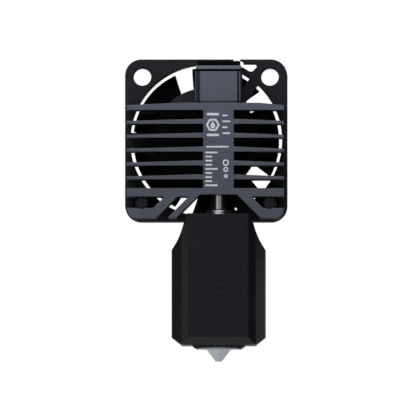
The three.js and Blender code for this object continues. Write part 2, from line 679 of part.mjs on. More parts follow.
// ------------------------------------------------------------------ fan stator
// A ring with four poles and their curved shoes, as the core and both insulators have.
function poleSet(y0, y1, { neckHalf, shoeInner, shoeOuter, shoeHalfDegrees }) {
  const half = THREE.MathUtils.degToRad(shoeHalfDegrees);
  const poles = [];
  for (let i = 0; i < POLE_COUNT; i++) {
    const arm = box(POLE_RING_RADIUS - 0.4, shoeInner + 0.3, y0, y1, -neckHalf, neckHalf);
    const shoe = alongY(sector(shoeInner, shoeOuter, -half, half), y0, y1, 6);
    poles.push(turned(arm.add(shoe), (i * 360) / POLE_COUNT));
  }
  return join([turnedY(ringProfile(TUBE_OUTER + FIT, POLE_RING_RADIUS, y0, y1), 24), ...poles]);
}

function statorCoil(index) {
  const shape = roundedRectangle(COIL_HALF_HEIGHT, COIL_HALF_WIDTH, COIL_CORNER);
  shape.holes.push(roundedRectangle(COIL_HOLE_HALF_HEIGHT, COIL_HOLE_HALF_WIDTH, 0.1));
  const geometry = new THREE.ExtrudeGeometry(shape, {
    depth: COIL_OUTER_R - COIL_INNER_R, bevelEnabled: false, curveSegments: 3,
  });
  geometry.rotateZ(Math.PI / 2);
  geometry.rotateY(Math.PI / 2);
  geometry.translate(COIL_INNER_R, (CORE_FRONT + CORE_BACK) / 2, 0);
  return turned(solid(geometry), (index * 360) / POLE_COUNT);
}

function hallSensor() {
  const chip = box(
    HALL_INNER_R, HALL_OUTER_R, BOARD_BACK + FIT, HALL_BACK, -HALL_HALF_WIDTH, HALL_HALF_WIDTH);
  return turned(chip, HALL_DEGREES);
}

// ------------------------------------------------------------------ fasteners
// A pan-head screw along Y, its rounded tip to the front and its cross recess to the back.
function fanScrew() {
  const headY = FAN_DEPTH + FIT;
  const dome = [];
  for (let i = 0; i <= 3; i++) {
    const angle = (i / 3) * Math.PI / 2;
    dome.push([SCREW_RADIUS * Math.sin(angle), SCREW_TIP_Y + SCREW_DOME * (1 - Math.cos(angle))]);
  }
  const screw = turnedY([
    ...dome, [SCREW_RADIUS, headY], [SCREW_HEAD_RADIUS, headY], [SCREW_HEAD_RADIUS, headY + SCREW_HEAD_SIDE],
    [SCREW_HEAD_RADIUS - 0.7, headY + SCREW_HEAD_HEIGHT - 0.25], [0, headY + SCREW_HEAD_HEIGHT],
  ], 20);
  const recess = (halfX, halfZ) => box(
    -halfX, halfX, headY + SCREW_RECESS_FLOOR, headY + SCREW_HEAD_HEIGHT + 1, -halfZ, halfZ);
  return screw
    .subtract(recess(SCREW_RECESS_HALF_LENGTH, SCREW_RECESS_HALF_WIDTH))
    .subtract(recess(SCREW_RECESS_HALF_WIDTH, SCREW_RECESS_HALF_LENGTH));
}

// ------------------------------------------------------------------ assembly
function addTo(parent, name, manifold, material) {
  const mesh = new THREE.Mesh(geometryOf(manifold), material);
  mesh.name = name;
  parent.add(mesh);
  return mesh;
}

function hotSideGroup() {
  const hot = new THREE.Group();
  addTo(hot, 'heatsink', heatsink(), materials.anodised);
  addTo(hot, 'filament_inlet', filamentInlet(), materials.inletPlastic);
  addTo(hot, 'heat_break', heatBreak(), materials.polishedSteel);
  addTo(hot, 'heater_block', heaterBlock(), materials.copper);
  addTo(hot, 'nozzle', nozzle(), materials.nozzleSteel);
  addTo(hot, 'ceramic_heater', ceramicHeater(), materials.ceramic);
  addTo(hot, 'heater_clip', heaterClip(), materials.springSteel);
  addTo(hot, 'thermistor', thermistor(), materials.ceramic);
  addTo(hot, 'silicone_sock', siliconeSock(), materials.silicone);
  return hot;
}

function addRotor(fan) {
  addTo(fan, 'fan_impeller', impeller(), materials.blackPlastic);
  addTo(fan, 'rotor_yoke', rotorYoke(), materials.springSteel);
  const magnet = turnedY(ringProfile(MAGNET_INNER, MAGNET_OUTER, MAGNET_FRONT, MAGNET_BACK), 36);
  addTo(fan, 'rotor_magnet', magnet, materials.magnet);
  addTo(fan, 'rotor_shaft', rotorShaft(), materials.polishedSteel);
  const clip = turnedY(
    ringProfile(SHAFT_CLIP_INNER, SHAFT_CLIP_OUTER, SHAFT_CLIP_FRONT, SHAFT_CLIP_BACK), 20);
  addTo(fan, 'shaft_clip', clip, materials.insulator);
}

function addStator(fan) {
  const pad = turnedY(rodProfile(THRUST_PAD_RADIUS, BASE_THICKNESS + 0.05, THRUST_PAD_BACK), 20);
  addTo(fan, 'thrust_pad', pad, materials.insulator);
  const bush = turnedY(ringProfile(BUSH_INNER, BUSH_OUTER, BUSH_FRONT, BUSH_BACK), 24);
  addTo(fan, 'bearing_bush', bush, materials.bronze);
  addTo(fan, 'stator_core', poleSet(CORE_FRONT, CORE_BACK, CORE_POLE), materials.lamination);
  const insulator = (y0) => poleSet(y0, y0 + INSULATOR_THICKNESS, INSULATOR_POLE);
  const frontInsulator = insulator(CORE_FRONT - FIT - INSULATOR_THICKNESS);
  addTo(fan, 'stator_insulator_front', frontInsulator, materials.insulator);
  addTo(fan, 'stator_insulator_rear', insulator(CORE_BACK + FIT), materials.insulator);
  for (let i = 0; i < POLE_COUNT; i++) {
    addTo(fan, `stator_coil_${i + 1}`, statorCoil(i), materials.winding);
  }
  const board = turnedY(ringProfile(TUBE_OUTER + FIT, BOARD_RADIUS, BOARD_FRONT, BOARD_BACK), 32);
  addTo(fan, 'stator_board', board, materials.board);
  addTo(fan, 'hall_sensor', hallSensor(), materials.inletPlastic);
}

function fanGroup() {
  const fan = new THREE.Group();
  fan.position.set(FAN_X, FAN_Y, FAN_Z);
  addTo(fan, 'fan_frame', fanFrame(), materials.blackPlastic);
  addRotor(fan);
  addStator(fan);
  for (const [name, side] of [['fan_screw_left', -1], ['fan_screw_right', 1]]) {
    const screw = addTo(fan, name, fanScrew(), materials.screwSteel);
    screw.position.set(side * HOLE_OFFSET, 0, -HOLE_OFFSET);
  }
  return fan;
}

const group = new THREE.Group();
group.position.z = -NECK_TOP;
group.add(hotSideGroup(), fanGroup());

export default group;
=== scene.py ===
"""Looks of the hotend: detailed pieces, procedural materials, studio and camera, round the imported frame.

Shapes are made in millimetres round one of two anchors, the nozzle's tip (HOT) or the middle of the fan's
front face (FAN), both read from the frame, and placed in metres. Y runs from the front to the back.
"""

import math

import bmesh
import bpy
from mathutils import Matrix, Vector


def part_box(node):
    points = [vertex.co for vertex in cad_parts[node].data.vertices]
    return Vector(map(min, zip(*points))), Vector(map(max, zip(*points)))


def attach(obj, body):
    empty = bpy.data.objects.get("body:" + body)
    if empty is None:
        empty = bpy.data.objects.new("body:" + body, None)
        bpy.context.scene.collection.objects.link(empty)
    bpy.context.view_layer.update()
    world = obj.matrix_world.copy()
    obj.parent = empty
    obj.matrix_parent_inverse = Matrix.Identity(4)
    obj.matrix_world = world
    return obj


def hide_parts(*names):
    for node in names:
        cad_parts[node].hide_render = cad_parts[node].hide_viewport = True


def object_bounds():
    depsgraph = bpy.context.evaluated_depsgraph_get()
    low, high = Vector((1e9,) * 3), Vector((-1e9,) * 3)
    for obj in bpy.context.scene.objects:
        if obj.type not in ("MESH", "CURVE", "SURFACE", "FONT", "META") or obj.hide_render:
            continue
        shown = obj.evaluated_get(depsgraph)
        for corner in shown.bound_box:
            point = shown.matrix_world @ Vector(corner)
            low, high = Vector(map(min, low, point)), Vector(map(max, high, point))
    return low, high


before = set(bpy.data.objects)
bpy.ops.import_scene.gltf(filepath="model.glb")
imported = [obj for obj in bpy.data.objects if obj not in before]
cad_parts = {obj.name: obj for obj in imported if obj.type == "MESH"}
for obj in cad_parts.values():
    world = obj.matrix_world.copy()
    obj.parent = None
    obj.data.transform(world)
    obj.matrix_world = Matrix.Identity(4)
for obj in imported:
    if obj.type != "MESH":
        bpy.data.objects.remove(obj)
cad_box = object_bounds()

MM = 0.001
TAU = 2 * math.pi


def corners(node):
    """A node's lowest and highest corners at rest, in millimetres, rounded so that every run has the same."""
    return [Vector([round(c / MM, 4) for c in corner]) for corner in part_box(node)]


SINK_LOW, SINK_HIGH = corners("heatsink")
FAN_LOW, FAN_HIGH = corners("fan_frame")
TIP_Z = corners("nozzle")[0].z
HOT = Vector((0, 0, TIP_Z))
FAN = Vector(((FAN_LOW.x + FAN_HIGH.x) / 2, FAN_LOW.y, (FAN_LOW.z + FAN_HIGH.z) / 2))
FAN_DEPTH = FAN_HIGH.y - FAN_LOW.y
FAN_HALF = (FAN_HIGH.x - FAN_LOW.x) / 2
HOLE_OFFSET = 11.8
HOLE_PLACES = [(x, z) for x in (-HOLE_OFFSET, HOLE_OFFSET) for z in (-HOLE_OFFSET, HOLE_OFFSET)]
SCREWS = {name: sum(corners(name), Vector()) / 2 for name in ("fan_screw_left", "fan_screw_right")}


# ---------------------------------------------------------------- outlines
def fillet(points, radius, steps=4, closed=True):
    """A polyline with its corners rounded. A point may carry its own radius as a third number."""
    nearly_straight = math.radians(88)
    most_of_edge = 0.48
    out = []
    count = len(points)
    for i, point in enumerate(points):
        here = Vector(point[:2])
        r = point[2] if len(point) > 2 else radius
        if r <= 0 or (not closed and i in (0, count - 1)):
            out.append(here)
            continue
        to_before = Vector(points[i - 1][:2]) - here
        to_after = Vector(points[(i + 1) % count][:2]) - here
        half = to_before.angle(to_after) / 2
        if half > nearly_straight:
            out.append(here)
            continue
        reach = min(r / math.tan(half), most_of_edge * to_before.length, most_of_edge * to_after.length)
        start = here + to_before.normalized() * reach
        end = here + to_after.normalized() * reach
        middle = (to_before.normalized() + to_after.normalized()).normalized()
        centre = here + middle * reach / math.cos(half)
        sweep = math.pi - 2 * half
        for k in range(steps + 1):
            t = k / steps
            a = math.sin((1 - t) * sweep) / math.sin(sweep)
            b = math.sin(t * sweep) / math.sin(sweep)
            out.append(centre + (start - centre) * a + (end - centre) * b)
    return out


def circle(x, y, radius, segments):
    return [Vector((x + radius * math.cos(TAU * i / segments), y + radius * math.sin(TAU * i / segments)))
            for i in range(segments)]


def rectangle(x0, x1, y0, y1):
    return [(x0, y0), (x1, y0), (x1, y1), (x0, y1)]


def smooth_curve(points):
    """A Catmull-Rom curve through the points."""
    steps = 8
    p = [Vector(q) for q in points]
    p = [2 * p[0] - p[1], *p, 2 * p[-1] - p[-2]]
    out = []
    for i in range(1, len(p) - 2):
        for k in range(steps):
            t = k / steps
            out.append(0.5 * (2 * p[i] + (p[i + 1] - p[i - 1]) * t
                              + (2 * p[i - 1] - 5 * p[i] + 4 * p[i + 1] - p[i + 2]) * t ** 2
                              + (3 * p[i] - p[i - 1] - 3 * p[i + 1] + p[i + 2]) * t ** 3))
    return out + [p[-2]]


# ---------------------------------------------------------------- solids, in millimetres
MERGE_DISTANCE = 1e-4
ON_AXIS = 1e-6


def new_object(mesh):
    """An object under a passing name, which finish_piece replaces."""
    obj = bpy.data.objects.new("work", mesh)
    bpy.context.scene.collection.objects.link(obj)
    return obj


def object_from(bm):
    """An object with the bmesh's shape, its seams merged and its faces pointing out."""
    bmesh.ops.remove_doubles(bm, verts=bm.verts, dist=MERGE_DISTANCE)
    bmesh.ops.recalc_face_normals(bm, faces=bm.faces)
    mesh = bpy.data.meshes.new("work")
    bm.to_mesh(mesh)
    bm.free()
    return new_object(mesh)


def bake(obj):
    """Applies the object's modifiers, and turns a curve into a mesh."""
    depsgraph = bpy.context.evaluated_depsgraph_get()
    mesh = bpy.data.meshes.new_from_object(obj.evaluated_get(depsgraph))
    if obj.type == "MESH":
        obj.modifiers.clear()
        obj.data = mesh
        return obj
    bpy.data.objects.remove(obj)
    return new_object(mesh)


PLANES = {
    "XZ": Matrix(((1, 0, 0, 0), (0, 0, 1, 0), (0, 1, 0, 0), (0, 0, 0, 1))),
    "XY": Matrix.Identity(4),
}


def prism(loops, low, high, bevel=0.1, plane="XZ"):
    """Outlines, the first outside and the rest holes, extruded from low to high with rounded edges."""
    curve = bpy.data.curves.new("work", "CURVE")
    curve.dimensions = "2D"
    curve.fill_mode = "BOTH"
    curve.extrude = (high - low) / 2 - bevel
    curve.bevel_depth = bevel
    curve.bevel_resolution = 2
    curve.offset = -bevel
    for loop in loops:
        spline = curve.splines.new("POLY")
        spline.points.add(len(loop) - 1)
        for point, place in zip(spline.points, loop):
            point.co = (place[0], place[1], 0, 1)
        spline.use_cyclic_u = True
    obj = bake(new_object(curve))
    bm = bmesh.new()
    bm.from_mesh(obj.data)
    bpy.data.objects.remove(obj)
    bmesh.ops.remove_doubles(bm, verts=bm.verts, dist=MERGE_DISTANCE)
    bmesh.ops.dissolve_limit(bm, angle_limit=math.radians(0.5), verts=bm.verts, edges=bm.edges)
    bm.transform(PLANES[plane] @ Matrix.Translation((0, 0, (low + high) / 2)))
    return object_from(bm)


def lathe(profile, axis="Z", segments=96, at=(0, 0)):
    """A closed profile of (radius, height) turned about an axis through the two other coordinates."""
    bm = bmesh.new()
    rings = []
    for i in range(segments):
        c, s = math.cos(TAU * i / segments), math.sin(TAU * i / segments)
        ring = []
        for radius, height in profile:
            if axis == "Z":
                place = (at[0] + radius * c, at[1] + radius * s, height)
            else:
                place = (at[0] + radius * c, height, at[1] + radius * s)
            ring.append(bm.verts.new(place))
        rings.append(ring)
    count = len(profile)
    for i in range(segments):
        one, two = rings[i], rings[(i + 1) % segments]
        for j in range(count):
            k = (j + 1) % count
            if profile[j][0] < ON_AXIS and profile[k][0] < ON_AXIS:
                continue
            bm.faces.new((one[j], one[k], two[k], two[j]))
    bmesh.ops.remove_doubles(bm, verts=bm.verts, dist=MERGE_DISTANCE)
    bmesh.ops.dissolve_degenerate(bm, dist=1e-5, edges=bm.edges)
    return object_from(bm)


def cylinder(radius, low, high, axis="Z", segments=96, at=(0, 0)):
    return lathe([(0, low), (radius, low), (radius, high), (0, high)], axis, segments, at)


def tube(inner, outer, low, high, axis="Z", segments=96, at=(0, 0)):
    return lathe([(inner, low), (outer, low), (outer, high), (inner, high)], axis, segments, at)


def rod_profile(radius, low, high, edge=0.08):
    """The profile of a rod whose ends have rounded edges."""
    return fillet([(0, low), (radius, low), (radius, high), (0, high)], edge, 3, closed=False)


def box(x0, x1, y0, y1, z0, z1):
    bm = bmesh.new()
    bmesh.ops.create_cube(bm, size=1)
    bm.transform(Matrix.Translation(((x0 + x1) / 2, (y0 + y1) / 2, (z0 + z1) / 2))
                 @ Matrix.Diagonal((x1 - x0, y1 - y0, z1 - z0, 1)))
    return object_from(bm)


def combine(base, tools, operation):
    """Joins the tools to the base or cuts them from it, and uses them up."""
    for tool in tools:
        modifier = base.modifiers.new("work", "BOOLEAN")
        modifier.operation = operation
        modifier.solver = "EXACT"
        modifier.object = tool
    bake(base)
    for tool in tools:
        bpy.data.objects.remove(tool)
    return base


def cut(base, *tools):
    return combine(base, tools, "DIFFERENCE")


def join(base, *tools):
    return combine(base, tools, "UNION")


def soften(obj, width, angle=35):
    """Rounds the edges sharper than an angle."""
    modifier = obj.modifiers.new("work", "BEVEL")
    modifier.width = width
    modifier.segments = 2
    modifier.limit_method = "ANGLE"
    modifier.angle_limit = math.radians(angle)
    modifier.miter_outer = "MITER_ARC"
    return bake(obj)


def turn(obj, degrees):
    """Turns an object about the Y axis."""
    obj.data.transform(Matrix.Rotation(math.radians(degrees), 4, "Y"))
    return obj


def shift(obj, x, y, z):
    obj.data.transform(Matrix.Translation((x, y, z)))
    return obj


def finish_piece(obj, name, anchor, body, material, replaces=(), smooth=32):
    """Names a piece, places it in metres, and tells the frame what it rides on and stands for.

    The normals are weighed by area while the piece is in millimetres: in metres its faces are too small.
    """
    obj.data.shade_smooth()
    obj.data.set_sharp_from_angle(angle=math.radians(smooth))
    normals = obj.modifiers.new("normals", "WEIGHTED_NORMAL")
    normals.keep_sharp = True
    bake(obj)
    obj.name = name
    obj.data.name = name
    obj.data.transform(Matrix.Scale(MM, 4) @ Matrix.Translation(anchor))
    obj.data.materials.clear()
    obj.data.materials.append(material)
    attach(obj, body)
    if replaces:
        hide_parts(*replaces)


# ---------------------------------------------------------------- materials
class Nodes:
    """A material's node tree, with short calls for the few nodes used here."""

    def __init__(self, name):
        self.material = bpy.data.materials.new(name)
        self.material.use_nodes = True
        self.tree = self.material.node_tree
        self.shader = self.tree.nodes["Principled BSDF"]
        coordinates = self.tree.nodes.new("ShaderNodeTexCoord")
        self.place = self.tree.nodes.new("ShaderNodeMapping")
        self.place.inputs["Scale"].default_value = (1 / MM,) * 3
        self.link(coordinates.outputs["Object"], self.place.inputs["Vector"])

    def link(self, output, socket):
        self.tree.links.new(output, socket)

    def noise(self, size, detail=3.0, roughness=0.5, stretch=None):
        """Noise whose features are about `size` millimetres."""
        node = self.tree.nodes.new("ShaderNodeTexNoise")
        node.inputs["Scale"].default_value = 1 / size
        node.inputs["Detail"].default_value = detail
        node.inputs["Roughness"].default_value = roughness
        vector = self.place.outputs["Vector"]
        if stretch:
            mapping = self.tree.nodes.new("ShaderNodeMapping")
            mapping.inputs["Scale"].default_value = stretch
            self.link(vector, mapping.inputs["Vector"])
            vector = mapping.outputs["Vector"]
        self.link(vector, node.inputs["Vector"])
        return node.outputs["Fac"]

    def ranged(self, value, low, high, to_low, to_high):
        """The value, with low to high stretched to the other two numbers and held there."""
        node = self.tree.nodes.new("ShaderNodeMapRange")
        for socket, number in zip(node.inputs[1:5], (low, high, to_low, to_high)):
            socket.default_value = number
        self.link(value, node.inputs["Value"])
        return node.outputs["Result"]

    def mixed(self, factor, one, two):
        """From one to two, each a colour or a socket, by a factor."""
        node = self.tree.nodes.new("ShaderNodeMix")
        node.data_type = "RGBA"
        self.link(factor, node.inputs["Factor"])
        for socket, colour in ((node.inputs[6], one), (node.inputs[7], two)):
            if isinstance(colour, bpy.types.NodeSocket):
                self.link(colour, socket)
            else:
                socket.default_value = (*colour, 1)
        return node.outputs[2]

    def bump(self, height, strength, depth_mm, below=None):
        """A normal from a height, on top of the normal below it if there is one."""
        node = self.tree.nodes.new("ShaderNodeBump")
        node.inputs["Strength"].default_value = strength
        node.inputs["Distance"].default_value = depth_mm * MM
        self.link(height, node.inputs["Height"])
        if below is not None:
            self.link(below, node.inputs["Normal"])
        return node.outputs["Normal"]

    def combined(self, operation, one, two):
        node = self.tree.nodes.new("ShaderNodeMath")
        node.operation = operation
        self.link(one, node.inputs[0])
        self.link(two, node.inputs[1])
        return node.outputs[0]

    def above(self, height):
        """0 below a height in millimetres and 1 above it."""
        blend = 0.04
        split = self.tree.nodes.new("ShaderNodeSeparateXYZ")
        self.link(self.place.outputs["Vector"], split.inputs["Vector"])
        return self.ranged(split.outputs["Z"], height - blend, height + blend, 0, 1)

    def edges(self):
        """1 on outer edges and 0 on flat or hollow places."""
        blunt, sharp = 0.52, 0.6
        node = self.tree.nodes.new("ShaderNodeNewGeometry")
        return self.ranged(node.outputs["Pointiness"], blunt, sharp, 0, 1)


def surface(name, colour, roughness, metallic=0.0, grain=0.25, grain_depth=0.006, mottle=0.12, spread=0.06,
            wear=None, wear_amount=0.5, stretch=None, specular=0.5, coat=0.0, glow=0.0, edge_tint=(1, 1, 1)):
    """The common recipe: fine grain in colour and bump, slow mottling, uneven gloss and worn edges, and with
    `glow` a painted glow in the surface's own colour.
    """
    nodes = Nodes(name)
    shader = nodes.shader
    shader.inputs["Metallic"].default_value = metallic
    shader.inputs["Specular IOR Level"].default_value = specular
    shader.inputs["Coat Weight"].default_value = coat
    shader.inputs["Specular Tint"].default_value = (*edge_tint, 1)
    shader.inputs["Emission Color"].default_value = (*colour, 1)
    shader.inputs["Emission Strength"].default_value = glow
    fine = nodes.noise(grain, 2.0, 0.6, stretch)
    slow = nodes.noise(6.0, 3.0, 0.55)
    dark = [c * (1 - mottle) for c in colour]
    light = [c * (1 + mottle) for c in colour]
    grained = nodes.mixed(nodes.ranged(fine, 0.35, 0.65, 0, 1), dark, light)
    deep = [c * (1 - 0.5 * mottle) for c in colour]
    shade = nodes.mixed(nodes.ranged(slow, 0.35, 0.65, 0, 0.5), grained, deep)
    if wear:
        patches = nodes.ranged(nodes.noise(1.2, 4.0, 0.6), 0.4, 0.7, 0, wear_amount)
        shade = nodes.mixed(nodes.combined("MULTIPLY", patches, nodes.edges()), shade, wear)
    nodes.link(shade, shader.inputs["Base Color"])
    uneven = nodes.noise(2.5, 4.0, 0.6)
    nodes.link(nodes.ranged(uneven, 0.3, 0.7, roughness - spread, roughness + spread),
               shader.inputs["Roughness"])
    normal = nodes.bump(fine, 0.6, grain_depth)
    normal = nodes.bump(slow, 0.3, 0.02, normal)
    nodes.link(normal, shader.inputs["Normal"])
    return nodes.material


def turned_metal(name, colour, roughness, depth=0.004, edge_tint=(1, 1, 1), painted_split=None):
    """Metal from a lathe: fine rings round the axis, with a little colour and gloss from ring to ring.

    The last argument gives a height in the frame, in millimetres, the colour above it, and how much rougher
    the metal is there. The change of colour at that height is painted light: painted shade on the nozzle's
    shoulder, and a painted highlight on the heat break's collars below it.
    """
    ring_pitch = 0.09
    along_axis = (0.02, 0.02, 1)
    nodes = Nodes(name)
    shader = nodes.shader
    shader.inputs["Metallic"].default_value = 1.0
    shader.inputs["Specular Tint"].default_value = (*edge_tint, 1)
    rings = nodes.noise(ring_pitch, 2.0, 0.5, along_axis)
    stains = nodes.noise(3.0, 4.0, 0.6)
    dark = [c * 0.86 for c in colour]
    tone = nodes.mixed(nodes.ranged(rings, 0.35, 0.65, 0, 1), dark, colour)
    shade = nodes.mixed(nodes.ranged(stains, 0.5, 0.8, 0, 0.3), tone, [c * 0.75 for c in colour])
    gloss = nodes.ranged(rings, 0.3, 0.7, roughness * 0.75, roughness * 1.3)
    # Painted light: a different colour above the height, painted shade or painted highlight by the use.
    if painted_split:
        height, upper_colour, matt = painted_split
        shade = nodes.mixed(nodes.above(height), shade, upper_colour)
        gloss = nodes.combined("ADD", gloss, nodes.ranged(nodes.above(height), 0, 1, 0, matt))
    nodes.link(shade, shader.inputs["Base Color"])
    nodes.link(gloss, shader.inputs["Roughness"])
    nodes.link(nodes.bump(rings, 0.5, depth), shader.inputs["Normal"])
    return nodes.material


anodised = surface("anodised_aluminium", (0.209, 0.213, 0.236), 0.42, 1.0, grain=0.16, grain_depth=0.006,
                   mottle=0.06, wear=(0.32, 0.33, 0.36), wear_amount=0.12, edge_tint=(0.15, 0.15, 0.17))
# A lighter, slightly glossier copy of the anodised metal for the neck's lip; the code only makes the lip
# lighter.
lighter_lip_metal = surface("lighter_lip", (0.275, 0.275, 0.295), 0.38, 1.0, grain=0.16, grain_depth=0.004,
                    mottle=0.05)
# The marking's light colour is its own print; its Emission Strength of 0.16 is painted light, a glow that
# makes it brighter than the lamps light it.
laser_mark_and_glow = surface("laser_marking_and_glow", (0.88, 0.89, 0.93), 0.5, 0.3, grain=0.12, mottle=0.05, glow=0.16)
inlet_plastic = surface("inlet_plastic", (0.003, 0.003, 0.003), 0.6, grain=0.2, mottle=0.2, specular=0.06)
silicone = surface("black_silicone", (0.0023, 0.0027, 0.0037), 0.28, grain=0.3, grain_depth=0.003,
                   mottle=0.08, wear=(0.012, 0.012, 0.013), wear_amount=0.2, specular=0.6, spread=0.03)
fan_plastic = surface("fan_plastic", (0.0098, 0.0104, 0.0132), 0.55, grain=0.22, grain_depth=0.010,
                      mottle=0.15, wear=(0.02, 0.021, 0.024), wear_amount=0.25)
blade_plastic = surface("blade_plastic", (0.011, 0.011, 0.012), 0.5, grain=0.3, grain_depth=0.004, mottle=0.1,
                        specular=0.12)
label_film = surface("label_film", (0.068, 0.068, 0.072), 0.5, grain=0.4, grain_depth=0.003, mottle=0.1,
                     specular=0.16)
BRIGHT_STEEL = (0.78, 0.74, 0.68)
DARK_EDGE = (0.1, 0.1, 0.1)
# Heights where the painted tone of the turned steel changes.
COLLAR_TOP, CONE_TOP = 28.05, 2.24
polished = turned_metal("polished_steel", BRIGHT_STEEL, 0.12, depth=0.0012, edge_tint=DARK_EDGE)
# The collars below COLLAR_TOP are a rougher steel, and a brighter one than the tube above: the brighter
# colour is a painted highlight.
heat_break_steel = turned_metal("heat_break_steel", (0.9, 0.88, 0.86), 0.34, depth=0.0012,
                                edge_tint=DARK_EDGE, painted_split=(TIP_Z + COLLAR_TOP, BRIGHT_STEEL, -0.22))
# Above CONE_TOP the nozzle is darker and rougher: painted shade on the shoulder under the sock, not a
# coating.
nozzle_steel = turned_metal("nozzle_steel", (0.83, 0.84, 0.89), 0.22,
                            painted_split=(TIP_Z + CONE_TOP, (0.5, 0.495, 0.49), 0.25))
blackened = surface("blackened_steel", (0.072, 0.076, 0.074), 0.6, 1.0, grain=0.2, grain_depth=0.003,
                    mottle=0.06, wear=(0.2, 0.2, 0.21), wear_amount=0.4)
copper = surface("copper_alloy", (0.26, 0.15, 0.10), 0.42, 1.0, grain=0.12, grain_depth=0.004, mottle=0.14,
                 stretch=(1, 1, 0.05), wear=(0.62, 0.34, 0.22))
ceramic = surface("white_ceramic", (0.72, 0.70, 0.65), 0.45, grain=0.15, grain_depth=0.004, mottle=0.05)
spring_steel = surface("spring_steel", (0.36, 0.37, 0.39), 0.28, 1.0, grain=0.1, grain_depth=0.003,
                       stretch=(1, 1, 0.05), wear=(0.6, 0.6, 0.62))
ferrite = surface("bonded_ferrite", (0.02, 0.0195, 0.021), 0.6, grain=0.15, mottle=0.3)
insulator = surface("insulator_plastic", (0.70, 0.66, 0.55), 0.5, grain=0.3, mottle=0.04)
bronze = surface("sintered_bronze", (0.28, 0.16, 0.06), 0.45, 0.9, grain=0.08, grain_depth=0.01, mottle=0.35)
lamination = surface("lamination_steel", (0.2, 0.2, 0.21), 0.4, 0.9, grain=0.35, stretch=(0.02, 1, 0.02))
enamelled = surface("enamelled_wire", (0.40, 0.10, 0.03), 0.3, 0.6, grain=0.2, mottle=0.2, coat=0.6)
board_green = surface("circuit_board", (0.010, 0.10, 0.032), 0.35, grain=0.4, mottle=0.15, coat=0.3)


# ---------------------------------------------------------------- heatsink
COLUMN_HALF = 2.85
FIN_COUNT = 6
FIN_LOWEST = 33.62
FIN_PITCH = 2.568
FIN_ROOT, FIN_TIP, FIN_ROOT_ROUND = 0.94, 0.55, 0.18
CROWN_ROOT, CROWN_TIP = 1.34, 0.89
CROWN = FIN_LOWEST + (FIN_COUNT - 1) * FIN_PITCH
BAND_TOP, SLOT_TOP, SLOT_BOTTOM, FOOT_BOTTOM = 31.99, 30.43, 28.32, 26.49
COLUMN_FOOT = 30.82
SINK_LEFT, SINK_RIGHT = SINK_LOW.x, SINK_HIGH.x
SINK_FRONT, SINK_BACK = SINK_LOW.y, SINK_HIGH.y
NECK_HALF, NECK_HALF_DEPTH, NECK_CHAMFER = 4.15, 3.7, 0.6
NECK_BASE = 48.1
GROOVE_LOW, GROOVE_HIGH, LIP_TOP = 53.7, 54.07, 54.76
FILAMENT_BORE, TUBE_SOCKET, SPIGOT_SOCKET = 1, 1.7, 2.5
SPIGOT_FLOOR = 51.7


def slant(foot, lean, z):
    """A point on a 45 degree edge that meets the level of the feet's undersides at x = foot."""
    return (foot + lean * (z - FOOT_BOTTOM), z)


def fins(side, tip):
    """The fins below the crown on one side, from the lowest up, thinner at their tips than at their roots."""
    root = side * COLUMN_HALF
    points = []
    for i in range(FIN_COUNT - 1):
        z = FIN_LOWEST + i * FIN_PITCH
        points += [(root, z, FIN_ROOT_ROUND), (tip, z), (tip, z + FIN_TIP),
                   (root, z + FIN_ROOT, FIN_ROOT_ROUND)]
    return points


def foot_corner(edge, side):
    """The round outer corner of a foot, from the slot down to the underside."""
    radius, centre_z, steps = 2.4, 28.62, 8
    start = math.asin((centre_z - SLOT_BOTTOM) / radius)
    end = math.asin((centre_z - FOOT_BOTTOM) / radius)
    angles = [start + (end - start) * k / steps for k in range(steps + 1)]
    return [(edge - side * radius * (1 - math.cos(a)), centre_z - radius * math.sin(a), 0) for a in angles]


def heatsink_outline():
    """The heatsink from the front: feet and braces, up the right fins, over the crown and down the left."""
    left_outer, left_inner = -13.915, -11.53
    thin_outer, thin_inner = -9.455, -7.83
    right_outer, right_inner = 10.1, 7.705
    crown_left, crown_right, crown_round = -7, 7.5, 3
    crown_top = CROWN + CROWN_ROOT
    edge_round = 0.11
    points = [
        (SINK_LEFT, BAND_TOP), (SINK_LEFT, SLOT_TOP), slant(left_outer, 1, SLOT_TOP),
        slant(left_outer, 1, SLOT_BOTTOM), *foot_corner(SINK_LEFT, -1),
        (left_inner, FOOT_BOTTOM), slant(left_inner, 1, SLOT_TOP),
        slant(thin_outer, 1, SLOT_TOP), (thin_outer, FOOT_BOTTOM),
        (thin_inner, FOOT_BOTTOM), slant(thin_inner, 1, COLUMN_FOOT),
        slant(right_inner, -1, COLUMN_FOOT), (right_inner, FOOT_BOTTOM),
        *reversed(foot_corner(SINK_RIGHT, 1)), slant(right_outer, -1, SLOT_BOTTOM),
        slant(right_outer, -1, SLOT_TOP), (SINK_RIGHT, SLOT_TOP), (SINK_RIGHT, BAND_TOP),
        (COLUMN_HALF, BAND_TOP), *fins(1, SINK_RIGHT),
        (COLUMN_HALF, CROWN, FIN_ROOT_ROUND), (SINK_RIGHT, CROWN), (SINK_RIGHT, CROWN + CROWN_TIP),
        (crown_right, crown_top, crown_round), (crown_left, crown_top, crown_round),
        (SINK_LEFT, CROWN + CROWN_TIP), (SINK_LEFT, CROWN), (-COLUMN_HALF, CROWN, FIN_ROOT_ROUND),
        *reversed(fins(-1, SINK_LEFT)), (-COLUMN_HALF, BAND_TOP),
    ]
    return fillet(points, edge_round, 4)


def chamfered(half_x, half_y, chamfer):
    """A rectangle with its corners cut off."""
    x, y = half_x - chamfer, half_y - chamfer
    return [(-x, -half_y), (x, -half_y), (half_x, -y), (half_x, y),
            (x, half_y), (-x, half_y), (-half_x, y), (-half_x, -y)]


